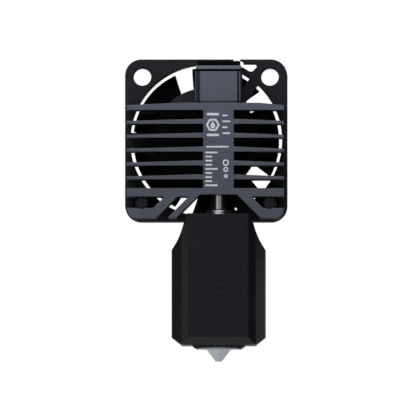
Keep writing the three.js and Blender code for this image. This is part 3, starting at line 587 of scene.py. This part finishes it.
def neck_section():
    """The neck from above: a flat front, chamfers of two widths, and a narrow ledge behind each chamfer."""
    flat, side, side_back = 3.43, 4.36, 3
    left_ledge, right_ledge, right_side = -2.7, -3.2, -2.2
    front, back = -NECK_HALF_DEPTH, NECK_HALF_DEPTH
    left = [(-flat, front), (-4.2, left_ledge), (-side, left_ledge), (-side, side_back), (-flat, back)]
    right = [(flat, front), (3.82, right_ledge), (4.04, right_ledge), (side, right_side), (side, side_back),
             (flat, back)]
    return right + left[::-1]


def heatsink():
    """The outline's prism, the neck on it, the filament's bore and round reliefs for the screws."""
    body = prism([heatsink_outline()], SINK_FRONT, SINK_BACK, 0.07)
    neck = prism([fillet(neck_section(), 0.05)], NECK_BASE, GROOVE_LOW, 0.06, "XY")
    waists = []
    for inset, low, high in ((0.5, 47, NECK_BASE + 1), (1.2, GROOVE_LOW - 1, GROOVE_HIGH + 0.3)):
        section = chamfered(NECK_HALF - inset, NECK_HALF_DEPTH - inset, NECK_CHAMFER)
        waists.append(prism([section], low, high, 0.02, "XY"))
    body = join(body, neck, *waists)
    tube_top, bore_low, above_neck = 44.1, 45, 56
    bore = lathe([(0, COLUMN_FOOT - 1), (TUBE_SOCKET, COLUMN_FOOT - 1), (TUBE_SOCKET, tube_top),
                  (FILAMENT_BORE, bore_low), (FILAMENT_BORE, SPIGOT_FLOOR), (SPIGOT_SOCKET, SPIGOT_FLOOR),
                  (SPIGOT_SOCKET, above_neck), (0, above_neck)], "Z", 64)
    relief = 1.2
    reliefs = [cylinder(relief, SINK_FRONT - 1, SINK_BACK + 1, "Y", 64, (centre.x, centre.z - TIP_Z))
               for centre in SCREWS.values()]
    body = cut(body, bore, *reliefs)
    finish_piece(body, "heatsink_machined", HOT, "hotend", anodised, ["heatsink"])


def neck_lip():
    """The square lip above the neck's groove, and a near-black ring in the groove: painted shade that stands
    in for the groove's shadow.
    """
    outline = fillet(rectangle(-NECK_HALF, NECK_HALF, -NECK_HALF_DEPTH, NECK_HALF_DEPTH), 0.3)
    hole = circle(0, 0, SPIGOT_SOCKET, 64)[::-1]
    lip = prism([outline, hole], GROOVE_HIGH, LIP_TOP, 0.09, "XY")
    finish_piece(lip, "neck_lip", HOT, "hotend", lighter_lip_metal)
    outside, inside, gap = 0.35, 1.15, 0.005
    outer = fillet(chamfered(NECK_HALF - outside, NECK_HALF_DEPTH - outside, NECK_CHAMFER), 0.1)
    inner = chamfered(NECK_HALF - inside, NECK_HALF_DEPTH - inside, NECK_CHAMFER)[::-1]
    # A near-black ring filling the groove: painted shade where the groove's shadow falls.
    groove_shade = prism([outer, inner], GROOVE_LOW + gap, GROOVE_HIGH - gap, 0.02, "XY")
    finish_piece(groove_shade, "groove_shade_ring", HOT, "hotend", inlet_plastic)


def marking():
    """Plain signs, no lettering: a droplet in a hexagon, dashes, a dividing bar, a tick scale and rings."""
    marks = []
    proud, sunk = 0.012, 0.05

    def add(*loops):
        marks.append(prism(loops, SINK_FRONT - proud, SINK_FRONT + sunk, 0.004))

    def add_bar(left, right, z, thickness, end_round):
        add(fillet(rectangle(left, right, z, z + thickness), end_round))

    sign_x, sign_z, sign_radius, ring_width = -1.05, 43.7, 1.3, 0.42

    def hexagon(radius):
        return fillet([(sign_x + radius * math.cos(TAU * i / 6), sign_z + radius * math.sin(TAU * i / 6))
                       for i in range(6)], 0.25)

    add(hexagon(sign_radius), hexagon(sign_radius - ring_width)[::-1])
    drop_radius, drop_z, drop_tip = 0.46, sign_z - 0.2, sign_z + 0.72
    drop = [(sign_x, drop_tip)]
    drop += [(sign_x + drop_radius * math.sin(a), drop_z + drop_radius * math.cos(a))
             for a in (TAU * (0.17 + 0.66 * k / 16) for k in range(17))]
    add(drop[::-1])
    for offset in (-2.1, 1.75):
        add_bar(-2.2, 0.1, sign_z + offset, 0.46, 0.2)
    lines_left, lines_low, lines_pitch = 0.7, 42.0, 1.1
    for k, length in enumerate((1.5, 1.0, 1.5, 1.0)):
        add_bar(lines_left, lines_left + length, lines_low + lines_pitch * k, 0.3, 0.14)
    add_bar(-2.3, 1.9, 39.5, 0.3, 0.1)
    scale_left, scale_low, scale_pitch = -2.45, 32.35, 0.76
    for k in range(9):
        length = 2.3 if k % 4 == 0 else 1.3
        add_bar(scale_left, scale_left + length, scale_low + scale_pitch * k, 0.32, 0.15)
    rings_x, rings_low, rings_pitch, ring_growth = 1.35, 34.2, 1.25, 0.12
    for k in range(3):
        z = rings_low + rings_pitch * k
        add(circle(rings_x, z, 0.36 + ring_growth * k, 32),
            circle(rings_x, z, 0.1 + ring_growth * k, 32)[::-1])
    base = marks[0]
    bm = bmesh.new()
    for mark in marks:
        bm.from_mesh(mark.data)
    for mark in marks[1:]:
        bpy.data.objects.remove(mark)
    bm.to_mesh(base.data)
    bm.free()
    finish_piece(base, "column_marking", HOT, "hotend", laser_mark_and_glow)


def filament_inlet():
    """A plate on top of the neck, with a spigot down into it and a funnel for the filament."""
    plate_low, plate_top, plate_half_x, plate_half_y = 54.86, 55.6, 4, 3.5
    outline = fillet(rectangle(-plate_half_x, plate_half_x, -plate_half_y, plate_half_y), 0.45)
    plate = prism([outline], plate_low, plate_top, 0.1, "XY")
    spigot = lathe(rod_profile(SPIGOT_SOCKET - 0.1, SPIGOT_FLOOR + 0.1, 55.2), "Z", 64)
    funnel = lathe([(0, 51), (FILAMENT_BORE, 51), (FILAMENT_BORE, 54.2), (1.9, 55.45), (2.1, 55.7),
                    (0, 55.7)], "Z", 64)
    body = cut(join(plate, spigot), funnel)
    finish_piece(body, "inlet_seat", HOT, "hotend", inlet_plastic, ["filament_inlet"])


# ---------------------------------------------------------------- hot side
def heat_break():
    """A thin polished tube with a groove above its two satin collars."""
    outer, foot, top = 1.46, 26.2, 44
    lower_collar = [(2.1, foot), (2.27, 27.34), (2.2, 27.64), (2.14, 27.66)]
    upper_collar = [(2.48, 27.68), (2.41, 27.99)]
    groove = [(1.5, 28.01), (1.2, 28.1), (outer, 28.24)]
    profile = fillet([(FILAMENT_BORE, foot), *lower_collar, *upper_collar, *groove, (outer, top),
                      (FILAMENT_BORE, top)], 0.04, 4)
    finish_piece(lathe(profile), "heat_break_tube", HOT, "hotend", heat_break_steel,
                 ["heat_break"])


def nozzle():
    """A cone with a flat tip below a round shoulder, and the shank that goes up into the heater block."""
    hole, tip, cone, shoulder, shank = 0.3, 0.57, 2.28, 3.9, 2.9
    cone_top, shoulder_top, shank_top = 2.27, 4.2, 9.9
    profile = fillet([(hole, 0, 0.05), (tip, 0, 0.04), (cone, cone_top, 0.04), (shoulder, cone_top, 0.18),
                      (shoulder, shoulder_top, 0.1), (shank, shoulder_top), (shank, shank_top, 0.2),
                      (FILAMENT_BORE, shank_top), (FILAMENT_BORE, 2.0), (hole, 0.8)], 0.05, 4)
    finish_piece(lathe(profile), "nozzle_turned", HOT, "hotend", nozzle_steel, ["nozzle"])


def heater_block():
    """A square block with a boss on top, bored through, with a thermistor hole and grooves for the clip."""
    block_low, block_top, boss_top = 4.3, 24.9, 26.1
    nozzle_bore, nozzle_bore_top = 3, 10
    thermistor_y, thermistor_z = 3.2, 14
    groove_x, groove_depth = 4.3, 1.7
    body = prism([fillet(rectangle(-5, 5, -3.55, 5.2), 0.3)], block_low, block_top, 0.15, "XY")
    boss = lathe(rod_profile(3, block_top - 1, boss_top, 0.15))
    bore = lathe([(0, 3), (nozzle_bore, 3), (nozzle_bore, nozzle_bore_top), (FILAMENT_BORE, nozzle_bore_top),
                  (FILAMENT_BORE, 27), (0, 27)])
    hole = turn(cylinder(1, -1.5, 3.9, "Z", 48), 90)
    shift(hole, 2.6, thermistor_y, thermistor_z)
    grooves = [box(x, x + groove_depth, 0.5, 1.1, 10.7, 17.3) for x in (-groove_x - groove_depth, groove_x)]
    body = soften(cut(join(body, boss), bore, hole, *grooves), 0.08)
    finish_piece(body, "heater_block_machined", HOT, "hotend", copper, ["heater_block"])


def ceramic_heater():
    plate = prism([fillet(rectangle(-4.4, 4.4, 8, 20), 0.35)], -4.85, -3.65, 0.1)
    finish_piece(plate, "heater_plate", HOT, "hotend", ceramic, ["ceramic_heater"])


def heater_clip():
    """A bent strip round the block with two inward hooks at its ends and a window in its front."""
    inner, sheet, bend = 5.1, 0.4, 0.45
    front, hook_y, hook_x = -5.35, 0.6, 4.4
    back = front + sheet
    outer = inner + sheet
    right = [(inner, back, bend - 0.3), (inner, hook_y, 0.1), (hook_x, hook_y, 0.08),
             (hook_x, hook_y + sheet, 0.08), (outer, hook_y + sheet, bend), (outer, front, bend)]
    outline = right + [(-x, y, r) for x, y, r in reversed(right)]
    strip = prism([fillet(outline, 0.1, 5)], 11, 17, 0.05, "XY")
    window = prism([fillet(rectangle(-2.2, 2.2, 12.6, 15.4), 0.6, 6)], -7, -4.9, 0.02)
    strip = soften(cut(strip, window), 0.04)
    finish_piece(strip, "heater_clip_sheet", HOT, "hotend", spring_steel, ["heater_clip"])


def thermistor():
    """A round ended capsule along X."""
    radius, length = 0.9, 4
    profile = fillet([(0, 0), (0.72, 0), (radius, 0.5), (radius, 3.7), (0.6, length), (0, length)],
                     0.12, 4, closed=False)
    capsule = turn(lathe(profile, "Z", 48), 90)
    shift(capsule, 0.9, 3.2, 14)
    finish_piece(capsule, "thermistor_capsule", HOT, "hotend", ceramic, ["thermistor"])


# ---------------------------------------------------------------- silicone sock
PANEL_HALF, PANEL_BOTTOM = 5.55, 4.43
EDGE_HALF, EDGE_Y, EDGE_BOTTOM = 6.75, 6.0, 2.96
SOCK_HALF, SOCK_HALF_DEPTH, SIDE_Y = 8.7, 7.2, 2.6
SOCK_TOP = 27.31


def sock_hull():
    """The sock's outer shape before anything is cut: panels front and back, and slanted strips between."""
    bm = bmesh.new()
    for x in (-1, 1):
        for y in (-1, 1):
            for half, depth, bottom in ((PANEL_HALF, SOCK_HALF_DEPTH, PANEL_BOTTOM),
                                        (EDGE_HALF, EDGE_Y, EDGE_BOTTOM),
                                        (SOCK_HALF, SIDE_Y, PANEL_BOTTOM)):
                for z in (bottom, SOCK_TOP):
                    bm.verts.new((x * half, y * depth, z))
    bmesh.ops.convex_hull(bm, input=bm.verts)
    bmesh.ops.dissolve_limit(bm, angle_limit=math.radians(1), verts=bm.verts, edges=bm.edges)
    least_height = 5
    upright = [e for e in bm.edges
               if abs(e.verts[0].co.xy.length - e.verts[1].co.xy.length) < MERGE_DISTANCE
               and abs(e.verts[0].co.z - e.verts[1].co.z) > least_height]
    soft = [e for e in upright if abs(e.verts[0].co.x) > PANEL_HALF + 0.1]
    bmesh.ops.bevel(bm, geom=soft, offset=0.55, segments=5, profile=0.5, affect="EDGES", clamp_overlap=True)
    return object_from(bm)


def shoulder(side):
    """What is cut from one upper corner of the sock, along a slightly hollow curve."""
    top_x, low_z, outside_x, above, outside_y = 5.62, 20.4, 12, 29, 9
    curve = smooth_curve([(top_x, SOCK_TOP + 0.3), (6.35, 25.8), (6.95, 23.9), (7.7, 22.2),
                          (SOCK_HALF + 0.1, low_z)])
    outline = [*curve, (outside_x, low_z), (outside_x, above), (top_x, above)]
    return prism([[(side * p[0], p[1]) for p in outline]], -outside_y, outside_y, 0.01)


def sock_grooves():
    """Short fine grooves down the middle of the front panel."""
    count, lowest, pitch, wide, deep = 15, 6.6, 1.36, 0.17, 0.3
    grooves = []
    for k in range(count):
        z = lowest + pitch * k
        half = 1.0 if k % 2 else 0.75
        grooves.append(prism([fillet(rectangle(-half, half, z, z + wide), 0.07)],
                             -SOCK_HALF_DEPTH - 1, -SOCK_HALF_DEPTH + deep, 0.01))
    return grooves


def panel_line():
    """A fine groove just inside the front panel's lower and side edges."""
    inset, wide, deep = 0.08, 0.15, 0.2
    half, low = PANEL_HALF - inset, PANEL_BOTTOM + inset
    outer = rectangle(-half, half, low, 30)
    inner = rectangle(-half + wide, half - wide, low + wide, 31)
    return cut(prism([outer], -SOCK_HALF_DEPTH - 1, -SOCK_HALF_DEPTH + deep, 0.01),
               prism([inner], -SOCK_HALF_DEPTH - 2, -SOCK_HALF_DEPTH + 1, 0.01))


def sock_boss():
    """The block under the sock that the nozzle comes out of, with a slightly arched underside."""
    foot_half, foot_z, rise, steps, half_depth = 4.06, 2.3, 0.3, 8, 4.6
    arch = [(foot_half * k / steps, foot_z + rise * (1 - (k / steps) ** 2), 0)
            for k in range(-steps, steps + 1)]
    side = [(4.66, 2.66), (4.98, 3.0), (4.98, 4.2)]
    outline = fillet(arch + side + [(-x, z) for x, z in reversed(side)], 0.1)
    return prism([outline], -half_depth, half_depth, 0.06)


def silicone_sock():
    """The hull and boss, hollowed out, with sloping shoulders and a notch in the top edge."""
    above = 29
    cavity_half_x, cavity_half_y, cavity_floor = 5.6, 5.9, 4.0
    fan_side_y, fan_side_top = 5.8, 25.35
    hole = cylinder(4.0, 0, 5)
    cavity = prism([fillet(rectangle(-cavity_half_x, cavity_half_x, -cavity_half_y, cavity_half_y), 0.4)],
                   cavity_floor, above, 0.01, "XY")
    under_fan = box(-10, 10, fan_side_y, 9, fan_side_top, above)
    notch = prism([fillet(rectangle(-1.2, 1.15, 26.98, above), 0.25)], -9, -5, 0.01)
    body = cut(join(sock_hull(), sock_boss()), hole, cavity, under_fan, notch, shoulder(-1), shoulder(1))
    body = soften(body, 0.09, angle=28)
    body = cut(body, panel_line(), *sock_grooves())
    finish_piece(body, "sock_moulding", HOT, "sock", silicone, ["silicone_sock"])


# ---------------------------------------------------------------- fan
OPENING = 14.06
BASE_RADIUS = 9.72
FLANGE = 2.2
HOLE_RADIUS = 1.65
SHROUD_RADIUS, POST_RADIUS = 14.9, 3
BUSH_TUBE_OUTER, BUSH_TUBE_INNER, BUSH_TUBE_TOP = 2.5, 1.75, 7.2
STRUT_DEPTH = 1.6
# each strut's angle in degrees, its offset from the radius at that angle, width, and start and end radius
STRUTS = ((180, 0, 2.85, 9.3, 14.5), (54.3, -0.87, 2, 9.3, 15.1), (-60.5, 0, 2.6, 9.3, 14.9))


def flange(low, high):
    """One of the frame's two square ends, with its round opening and four screw holes."""
    square = fillet(rectangle(-FAN_HALF, FAN_HALF, -FAN_HALF, FAN_HALF), 3, 12)
    opening = circle(0, 0, OPENING, 128)[::-1]
    holes = [circle(x, z, HOLE_RADIUS, 40)[::-1] for x, z in HOLE_PLACES]
    return prism([square, opening, *holes], low, high, 0.12)


def lead_slot():
    """The hole for the fan's lead in the frame's top edge, and the slot into it past a thin hook."""
    outline = fillet([(5.03, 17), (5.03, 13.6), (6.9, 13.5), (8.0, 12.78), (8.6, 12.78), (9.5, 13.7),
                      (9.06, 14.22), (6.9, 14.22), (6.75, 14.75), (6.25, 14.85), (6.25, 17)], 0.14)
    return prism([outline], -1, FAN_DEPTH + 1, 0.01)


def strut(degrees, offset, width, start, end):
    """A flat bar from the motor's base to the opening's wall, turned about the fan's axis."""
    outline = fillet(rectangle(start, end, offset - width / 2, offset + width / 2), 0.15)
    return turn(prism([outline], 0.0, STRUT_DEPTH, 0.1), -degrees)


def strut_tab():
    """A small block on the opening's wall, beside the third strut."""
    block = prism([rectangle(13.1, 14.5, -3.2, -1.62)], 0.0, STRUT_DEPTH, 0.05)
    return turn(block, -STRUTS[2][0])


def frame_walls():
    """The round shroud between the flanges, and the posts round the screw holes."""
    overlap, proud = 0.3, 0.02
    low, high = FLANGE - overlap, FAN_DEPTH - FLANGE + overlap
    shroud = tube(OPENING - proud, SHROUD_RADIUS, low, high, "Y", 128)
    posts = [tube(HOLE_RADIUS - proud, POST_RADIUS, low, high, "Y", 64, place) for place in HOLE_PLACES]
    return cut(join(shroud, *posts), cylinder(OPENING, 0, FAN_DEPTH, "Y", 128))


def motor_base():
    """The round plate that the struts hold, with the bearing's tube standing on its middle."""
    front, back, tube_floor = 0.08, 1.2, 1.25
    profile = [(0, front), (BASE_RADIUS, front, 0.2), (BASE_RADIUS, back, 0.1), (BUSH_TUBE_OUTER, back, 0.2),
               (BUSH_TUBE_OUTER, BUSH_TUBE_TOP), (BUSH_TUBE_INNER, BUSH_TUBE_TOP),
               (BUSH_TUBE_INNER, tube_floor), (0, tube_floor)]
    return lathe(fillet(profile, 0.06, 4, closed=False), "Y", 96)


def fan_frame():
    walls = frame_walls()
    base = motor_base()
    struts = [strut(*place) for place in STRUTS]
    shell = join(flange(0, FLANGE), walls, flange(FAN_DEPTH - FLANGE, FAN_DEPTH))
    body = join(cut(shell, lead_slot()), base, *struts, strut_tab())
    finish_piece(body, "fan_frame_moulding", FAN, "hotend", fan_plastic, ["fan_frame"])


def motor_label():
    """The plain film on the front of the motor's base, with nothing printed on it."""
    inner, outer, front, back = 0.9, BASE_RADIUS - 0.12, -0.03, 0.12
    profile = fillet([(inner, front), (outer, front), (outer, back), (inner, back)], 0.03, 3)
    film = lathe(profile, "Y", 128)
    finish_piece(film, "motor_label", FAN, "hotend", label_film)


BLADE_COUNT = 5
BLADE_ROOT, BLADE_TIP = 8.95, 13.5
BLADE_SPAN = math.radians(58)
BLADE_SWEEP = math.radians(3.4)
BLADE_FRONT, BLADE_RISE = 2.5, 6.5
BLADE_EDGE, BLADE_BODY, BLADE_CAMBER = 0.06, 0.36, 0.1


def blade(index):
    """A cambered blade from the hub outwards, thickest nearer its front edge and thin along its edges."""
    along, across = 28, 10
    middle = index * TAU / BLADE_COUNT
    bm = bmesh.new()
    sides = []
    for sign in (-1, 1):
        grid = []
        for i in range(along + 1):
            u = 0.5 - 0.5 * math.cos(math.pi * i / along)
            thick = BLADE_EDGE + BLADE_BODY * math.sqrt(max(u * (1 - u), 0)) * 2 * (0.65 + 0.5 * u)
            row = []
            for j in range(across + 1):
                v = j / across
                radius = BLADE_ROOT + (BLADE_TIP - BLADE_ROOT) * v
                angle = middle + BLADE_SPAN * (u - 0.5) + BLADE_SWEEP * (1 - v)
                y = BLADE_FRONT + BLADE_RISE * (1 - u - BLADE_CAMBER * math.sin(math.pi * u))
                y += sign * thick * (1 - 0.25 * v)
                row.append(bm.verts.new((radius * math.cos(angle), y, radius * math.sin(angle))))
            grid.append(row)
        sides.append(grid)
    for grid in sides:
        for i in range(along):
            for j in range(across):
                bm.faces.new((grid[i][j], grid[i + 1][j], grid[i + 1][j + 1], grid[i][j + 1]))
    low, high = sides
    for j in range(across):
        for i in (0, along):
            bm.faces.new((low[i][j], low[i][j + 1], high[i][j + 1], high[i][j]))
    for i in range(along):
        for j in (0, across):
            bm.faces.new((low[i][j], low[i + 1][j], high[i + 1][j], high[i][j]))
    return object_from(bm)


def hub_cup():
    """The hub, open to the front, with a shallow dish and a small dimple in its closed back."""
    inner, outer, front, floor, back = 8.7, 9.3, 1.9, 8.75, 9.5
    dish, dish_y, dimple, dimple_y = 6.5, 9.38, 0.9, 9.2
    profile = [(0, floor), (inner, floor, 0.2), (inner, front), (outer, front), (outer, back, 0.7),
               (dish + 0.1, back, 0.1), (dish, dish_y, 0.1), (dimple, dish_y, 0.1), (0.7, dimple_y, 0.1),
               (0, dimple_y)]
    return lathe(fillet(profile, 0.1, 5, closed=False), "Y", 128)


def fan_impeller():
    shaft_boss = tube(0.8, 2.1, 7.5, 9.0, "Y", 64)
    blades = [blade(i) for i in range(BLADE_COUNT)]
    body = join(hub_cup(), shaft_boss, *blades)
    finish_piece(body, "impeller_moulding", FAN, "fan_rotor", blade_plastic,
                 ["fan_impeller"], 40)


def screw_thread(radius, tip, head):
    """A rod along Y whose radius follows a helix, with a flat tip and a rounded edge round it."""
    pitch, depth, round_edge = 0.9, 0.2, 0.4
    segments, steps = 36, int((head - tip) / pitch * 12)
    bm = bmesh.new()
    rings = []
    for k in range(steps + 1):
        y = tip + (head - tip) * k / steps
        ring = []
        for i in range(segments):
            a = TAU * i / segments
            phase = (y / pitch - a / TAU) % 1
            ridge = max(0.0, 1 - abs(phase - 0.5) / 0.32)
            fade = min(1.0, (y - tip) / 1.0, (head - y) / 0.8)
            r = radius - depth * (1 - ridge) * max(fade, 0)
            if y - tip < round_edge:
                r -= round_edge * (1 - math.sqrt(1 - (1 - (y - tip) / round_edge) ** 2))
            ring.append(bm.verts.new((r * math.cos(a), y, r * math.sin(a))))
        rings.append(ring)
    for one, two in zip(rings, rings[1:]):
        for i in range(segments):
            j = (i + 1) % segments
            bm.faces.new((one[i], one[j], two[j], two[i]))
    bm.faces.new(rings[0])
    bm.faces.new(rings[-1])
    return object_from(bm)


def fan_screw(name, node):
    """A pan head screw with a cross recess, put in from the fan's back and reaching through the feet."""
    head_y = FAN_DEPTH + 0.1
    shank_radius, tip_y, head_radius, cross_half, cross_width = 1.29, -10, 2.4, 1.3, 0.6
    shank = screw_thread(shank_radius, tip_y, head_y + 0.2)
    profile = [(0, head_y), (head_radius, head_y, 0.1), (head_radius, head_y + 0.75, 0.5),
               (1.5, head_y + 1.5, 0.9), (0, head_y + 1.7)]
    head = lathe(fillet(profile, 0.1, 6, closed=False), "Y", 64)
    bars = [prism([fillet(rectangle(-w, w, -h, h), 0.12)], head_y + 0.85, head_y + 3, 0.05)
            for w, h in ((cross_half, cross_width / 2), (cross_width / 2, cross_half))]
    body = cut(join(head, shank), join(*bars))
    shift(body, SCREWS[node].x - FAN.x, 0, SCREWS[node].z - FAN.z)
    finish_piece(body, name, FAN, "hotend", blackened, [node])


# ---------------------------------------------------------------- fan motor
POLE_COUNT = 4


def coil(index):
    """Two layers of wire wound round a pole, built on the +X pole and turned to its place."""
    wire, turns, wire_sides = 0.14, 6, 8
    pole_half_x, pole_half_y, insulation = 1.3, 1.9, 0.2
    first_turn, pitch, middle_y = 3.55, 2 * wire * 1.06, 5.0
    bm = bmesh.new()
    for layer in range(2):
        half_y = pole_half_y + insulation + 2 * wire * layer
        half_x = pole_half_x + insulation + 2 * wire * layer
        loop = fillet(rectangle(-half_x, half_x, -half_y, half_y), 0.3, 4)
        for k in range(turns - layer):
            r = first_turn + wire + pitch * (k + 0.5 * layer)
            rings = []
            for n, p in enumerate(loop):
                direction = (loop[(n + 1) % len(loop)] - loop[n - 1]).normalized()
                side = Vector((direction.y, -direction.x))
                ring = []
                for m in range(wire_sides):
                    a = TAU * m / wire_sides
                    q = p + side * (wire * math.cos(a))
                    ring.append(bm.verts.new((r + wire * math.sin(a), middle_y + q.y, q.x)))
                rings.append(ring)
            for n, one in enumerate(rings):
                two = rings[(n + 1) % len(rings)]
                for m in range(wire_sides):
                    following = (m + 1) % wire_sides
                    bm.faces.new((one[m], one[following], two[following], two[m]))
    winding = turn(object_from(bm), index * 360 / POLE_COUNT)
    name = f"coil_winding_{index + 1}"
    finish_piece(winding, name, FAN, "hotend", enamelled, [f"stator_coil_{index + 1}"], 60)


CAD_LOOKS = {
    "rotor_yoke": spring_steel,
    "rotor_magnet": ferrite,
    "rotor_shaft": polished,
    "shaft_clip": insulator,
    "thrust_pad": insulator,
    "bearing_bush": bronze,
    "stator_core": lamination,
    "stator_insulator_front": insulator,
    "stator_insulator_rear": insulator,
    "stator_board": board_green,
    "hall_sensor": inlet_plastic,
}


def dress_cad_nodes():
    """The motor's plain turned and stamped pieces keep their solids, with eased edges and own finishes."""
    for node, look in CAD_LOOKS.items():
        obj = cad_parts[node]
        obj.data.materials.clear()
        obj.data.materials.append(look)
        ease = obj.modifiers.new("ease", "BEVEL")
        ease.width = 0.05 * MM
        ease.segments = 2
        ease.limit_method = "ANGLE"
        ease.angle_limit = math.radians(40)


# ---------------------------------------------------------------- studio
def soft_box(name, aim, offset, width, height, radiance, colour=(1, 1, 1)):
    """An area light at an offset from a point, facing it, with its brightness given as radiance."""
    light = bpy.data.lights.new(name, "AREA")
    light.shape = "RECTANGLE"
    light.size, light.size_y = width, height
    light.energy = radiance * math.pi * width * height
    light.color = colour
    obj = bpy.data.objects.new(name, light)
    bpy.context.scene.collection.objects.link(obj)
    obj.location = aim + Vector(offset)
    obj.rotation_euler = (-Vector(offset)).to_track_quat("-Z", "Y").to_euler()
    obj.visible_camera = False


def sky():
    """White to the camera and dim to everything else, so that the soft boxes do the lighting."""
    world = bpy.data.worlds.new("studio")
    world.use_nodes = True
    tree = world.node_tree
    tree.nodes.clear()
    path = tree.nodes.new("ShaderNodeLightPath")
    seen = tree.nodes.new("ShaderNodeBackground")
    lit = tree.nodes.new("ShaderNodeBackground")
    mix = tree.nodes.new("ShaderNodeMixShader")
    out = tree.nodes.new("ShaderNodeOutputWorld")
    seen.inputs["Color"].default_value = (1, 1, 1, 1)
    lit.inputs["Color"].default_value = (0.93, 0.96, 1.0, 1)
    lit.inputs["Strength"].default_value = 0.048
    tree.links.new(path.outputs["Is Camera Ray"], mix.inputs["Fac"])
    tree.links.new(lit.outputs[0], mix.inputs[1])
    tree.links.new(seen.outputs[0], mix.inputs[2])
    tree.links.new(mix.outputs[0], out.inputs["Surface"])
    bpy.context.scene.world = world


def floor():
    """A pale floor well below the nozzle, a little brighter to the camera than the light makes it."""
    drop, half, lifted = 0.06, 0.6, 0.32
    z = cad_box[0].z - drop
    mesh = bpy.data.meshes.new("floor")
    mesh.from_pydata([(x, y, z) for x, y in rectangle(-half, half, -half, half)], [], [(0, 1, 2, 3)])
    ground = bpy.data.objects.new("floor", mesh)
    bpy.context.scene.collection.objects.link(ground)
    paint = bpy.data.materials.new("floor_paint")
    paint.use_nodes = True
    shader = paint.node_tree.nodes["Principled BSDF"]
    shader.inputs["Base Color"].default_value = (0.85, 0.85, 0.85, 1)
    shader.inputs["Roughness"].default_value = 0.9
    shader.inputs["Emission Color"].default_value = (0.95, 0.97, 1.0, 1)
    path = paint.node_tree.nodes.new("ShaderNodeLightPath")
    lift = paint.node_tree.nodes.new("ShaderNodeMath")
    lift.operation = "MULTIPLY"
    lift.inputs[1].default_value = lifted
    paint.node_tree.links.new(path.outputs["Is Camera Ray"], lift.inputs[0])
    paint.node_tree.links.new(lift.outputs[0], shader.inputs["Emission Strength"])
    mesh.materials.append(paint)


def lights():
    middle = (cad_box[0] + cad_box[1]) / 2
    sock_middle = Vector((0, 0, TIP_Z + 14)) * MM
    cool = (0.76, 0.83, 1.0)
    soft_box("front_box", middle, (0, -0.5, 0.10), 0.68, 0.55, 0.224, cool)
    soft_box("upper_front_box", middle, (0, -0.10, 0.06), 0.12, 0.03, 1.5, cool)
    soft_box("left_strip", middle, (-0.17, -0.47, 0.02), 0.1, 0.5, 0.52, cool)
    soft_box("left_box", sock_middle, (-0.06, -0.005, -0.002), 0.04, 0.034, 0.25, (0.88, 0.97, 1.0))
    soft_box("right_back_box", sock_middle, (0.062, 0.046, -0.006), 0.037, 0.028, 0.28, (0.9, 0.98, 1.0))
    soft_box("back_box", middle, (0, 0.55, 0.3), 0.4, 0.34, 2.4)
    for side in (-1, 1):
        soft_box(f"side_box_{side}", middle, (side * 0.42, 0.16, 0.36), 0.3, 0.2, 1.1, cool)
    soft_box("top_box", middle, (-0.25, -0.05, 0.5), 0.6, 0.6, 1.4)


def camera():
    """A parallel view from the front and slightly below, aimed close to the object's middle."""
    data = bpy.data.cameras.new("camera")
    data.type = "ORTHO"
    data.ortho_scale = 77.0 * MM
    data.clip_start, data.clip_end = 0.01, 10
    obj = bpy.data.objects.new("camera", data)
    bpy.context.scene.collection.objects.link(obj)
    yaw, pitch = math.radians(0.4), math.radians(-1.4)
    back = Vector((math.sin(yaw) * math.cos(pitch), -math.cos(yaw) * math.cos(pitch), math.sin(pitch)))
    target = Vector((-1.94, SINK_FRONT, TIP_Z + 28.3)) * MM
    obj.location = target + back * 0.5
    obj.rotation_mode = "QUATERNION"
    obj.rotation_quaternion = (-back).to_track_quat("-Z", "Y")
    bpy.context.scene.camera = obj
    bpy.context.scene.view_settings.view_transform = "Standard"


heatsink()
neck_lip()
marking()
filament_inlet()
heat_break()
nozzle()
heater_block()
ceramic_heater()
heater_clip()
thermistor()
silicone_sock()
fan_frame()
motor_label()
fan_impeller()
fan_screw("fan_screw_threaded_left", "fan_screw_left")
fan_screw("fan_screw_threaded_right", "fan_screw_right")
for pole in range(POLE_COUNT):
    coil(pole)
dress_cad_nodes()
sky()
floor()
lights()
camera()
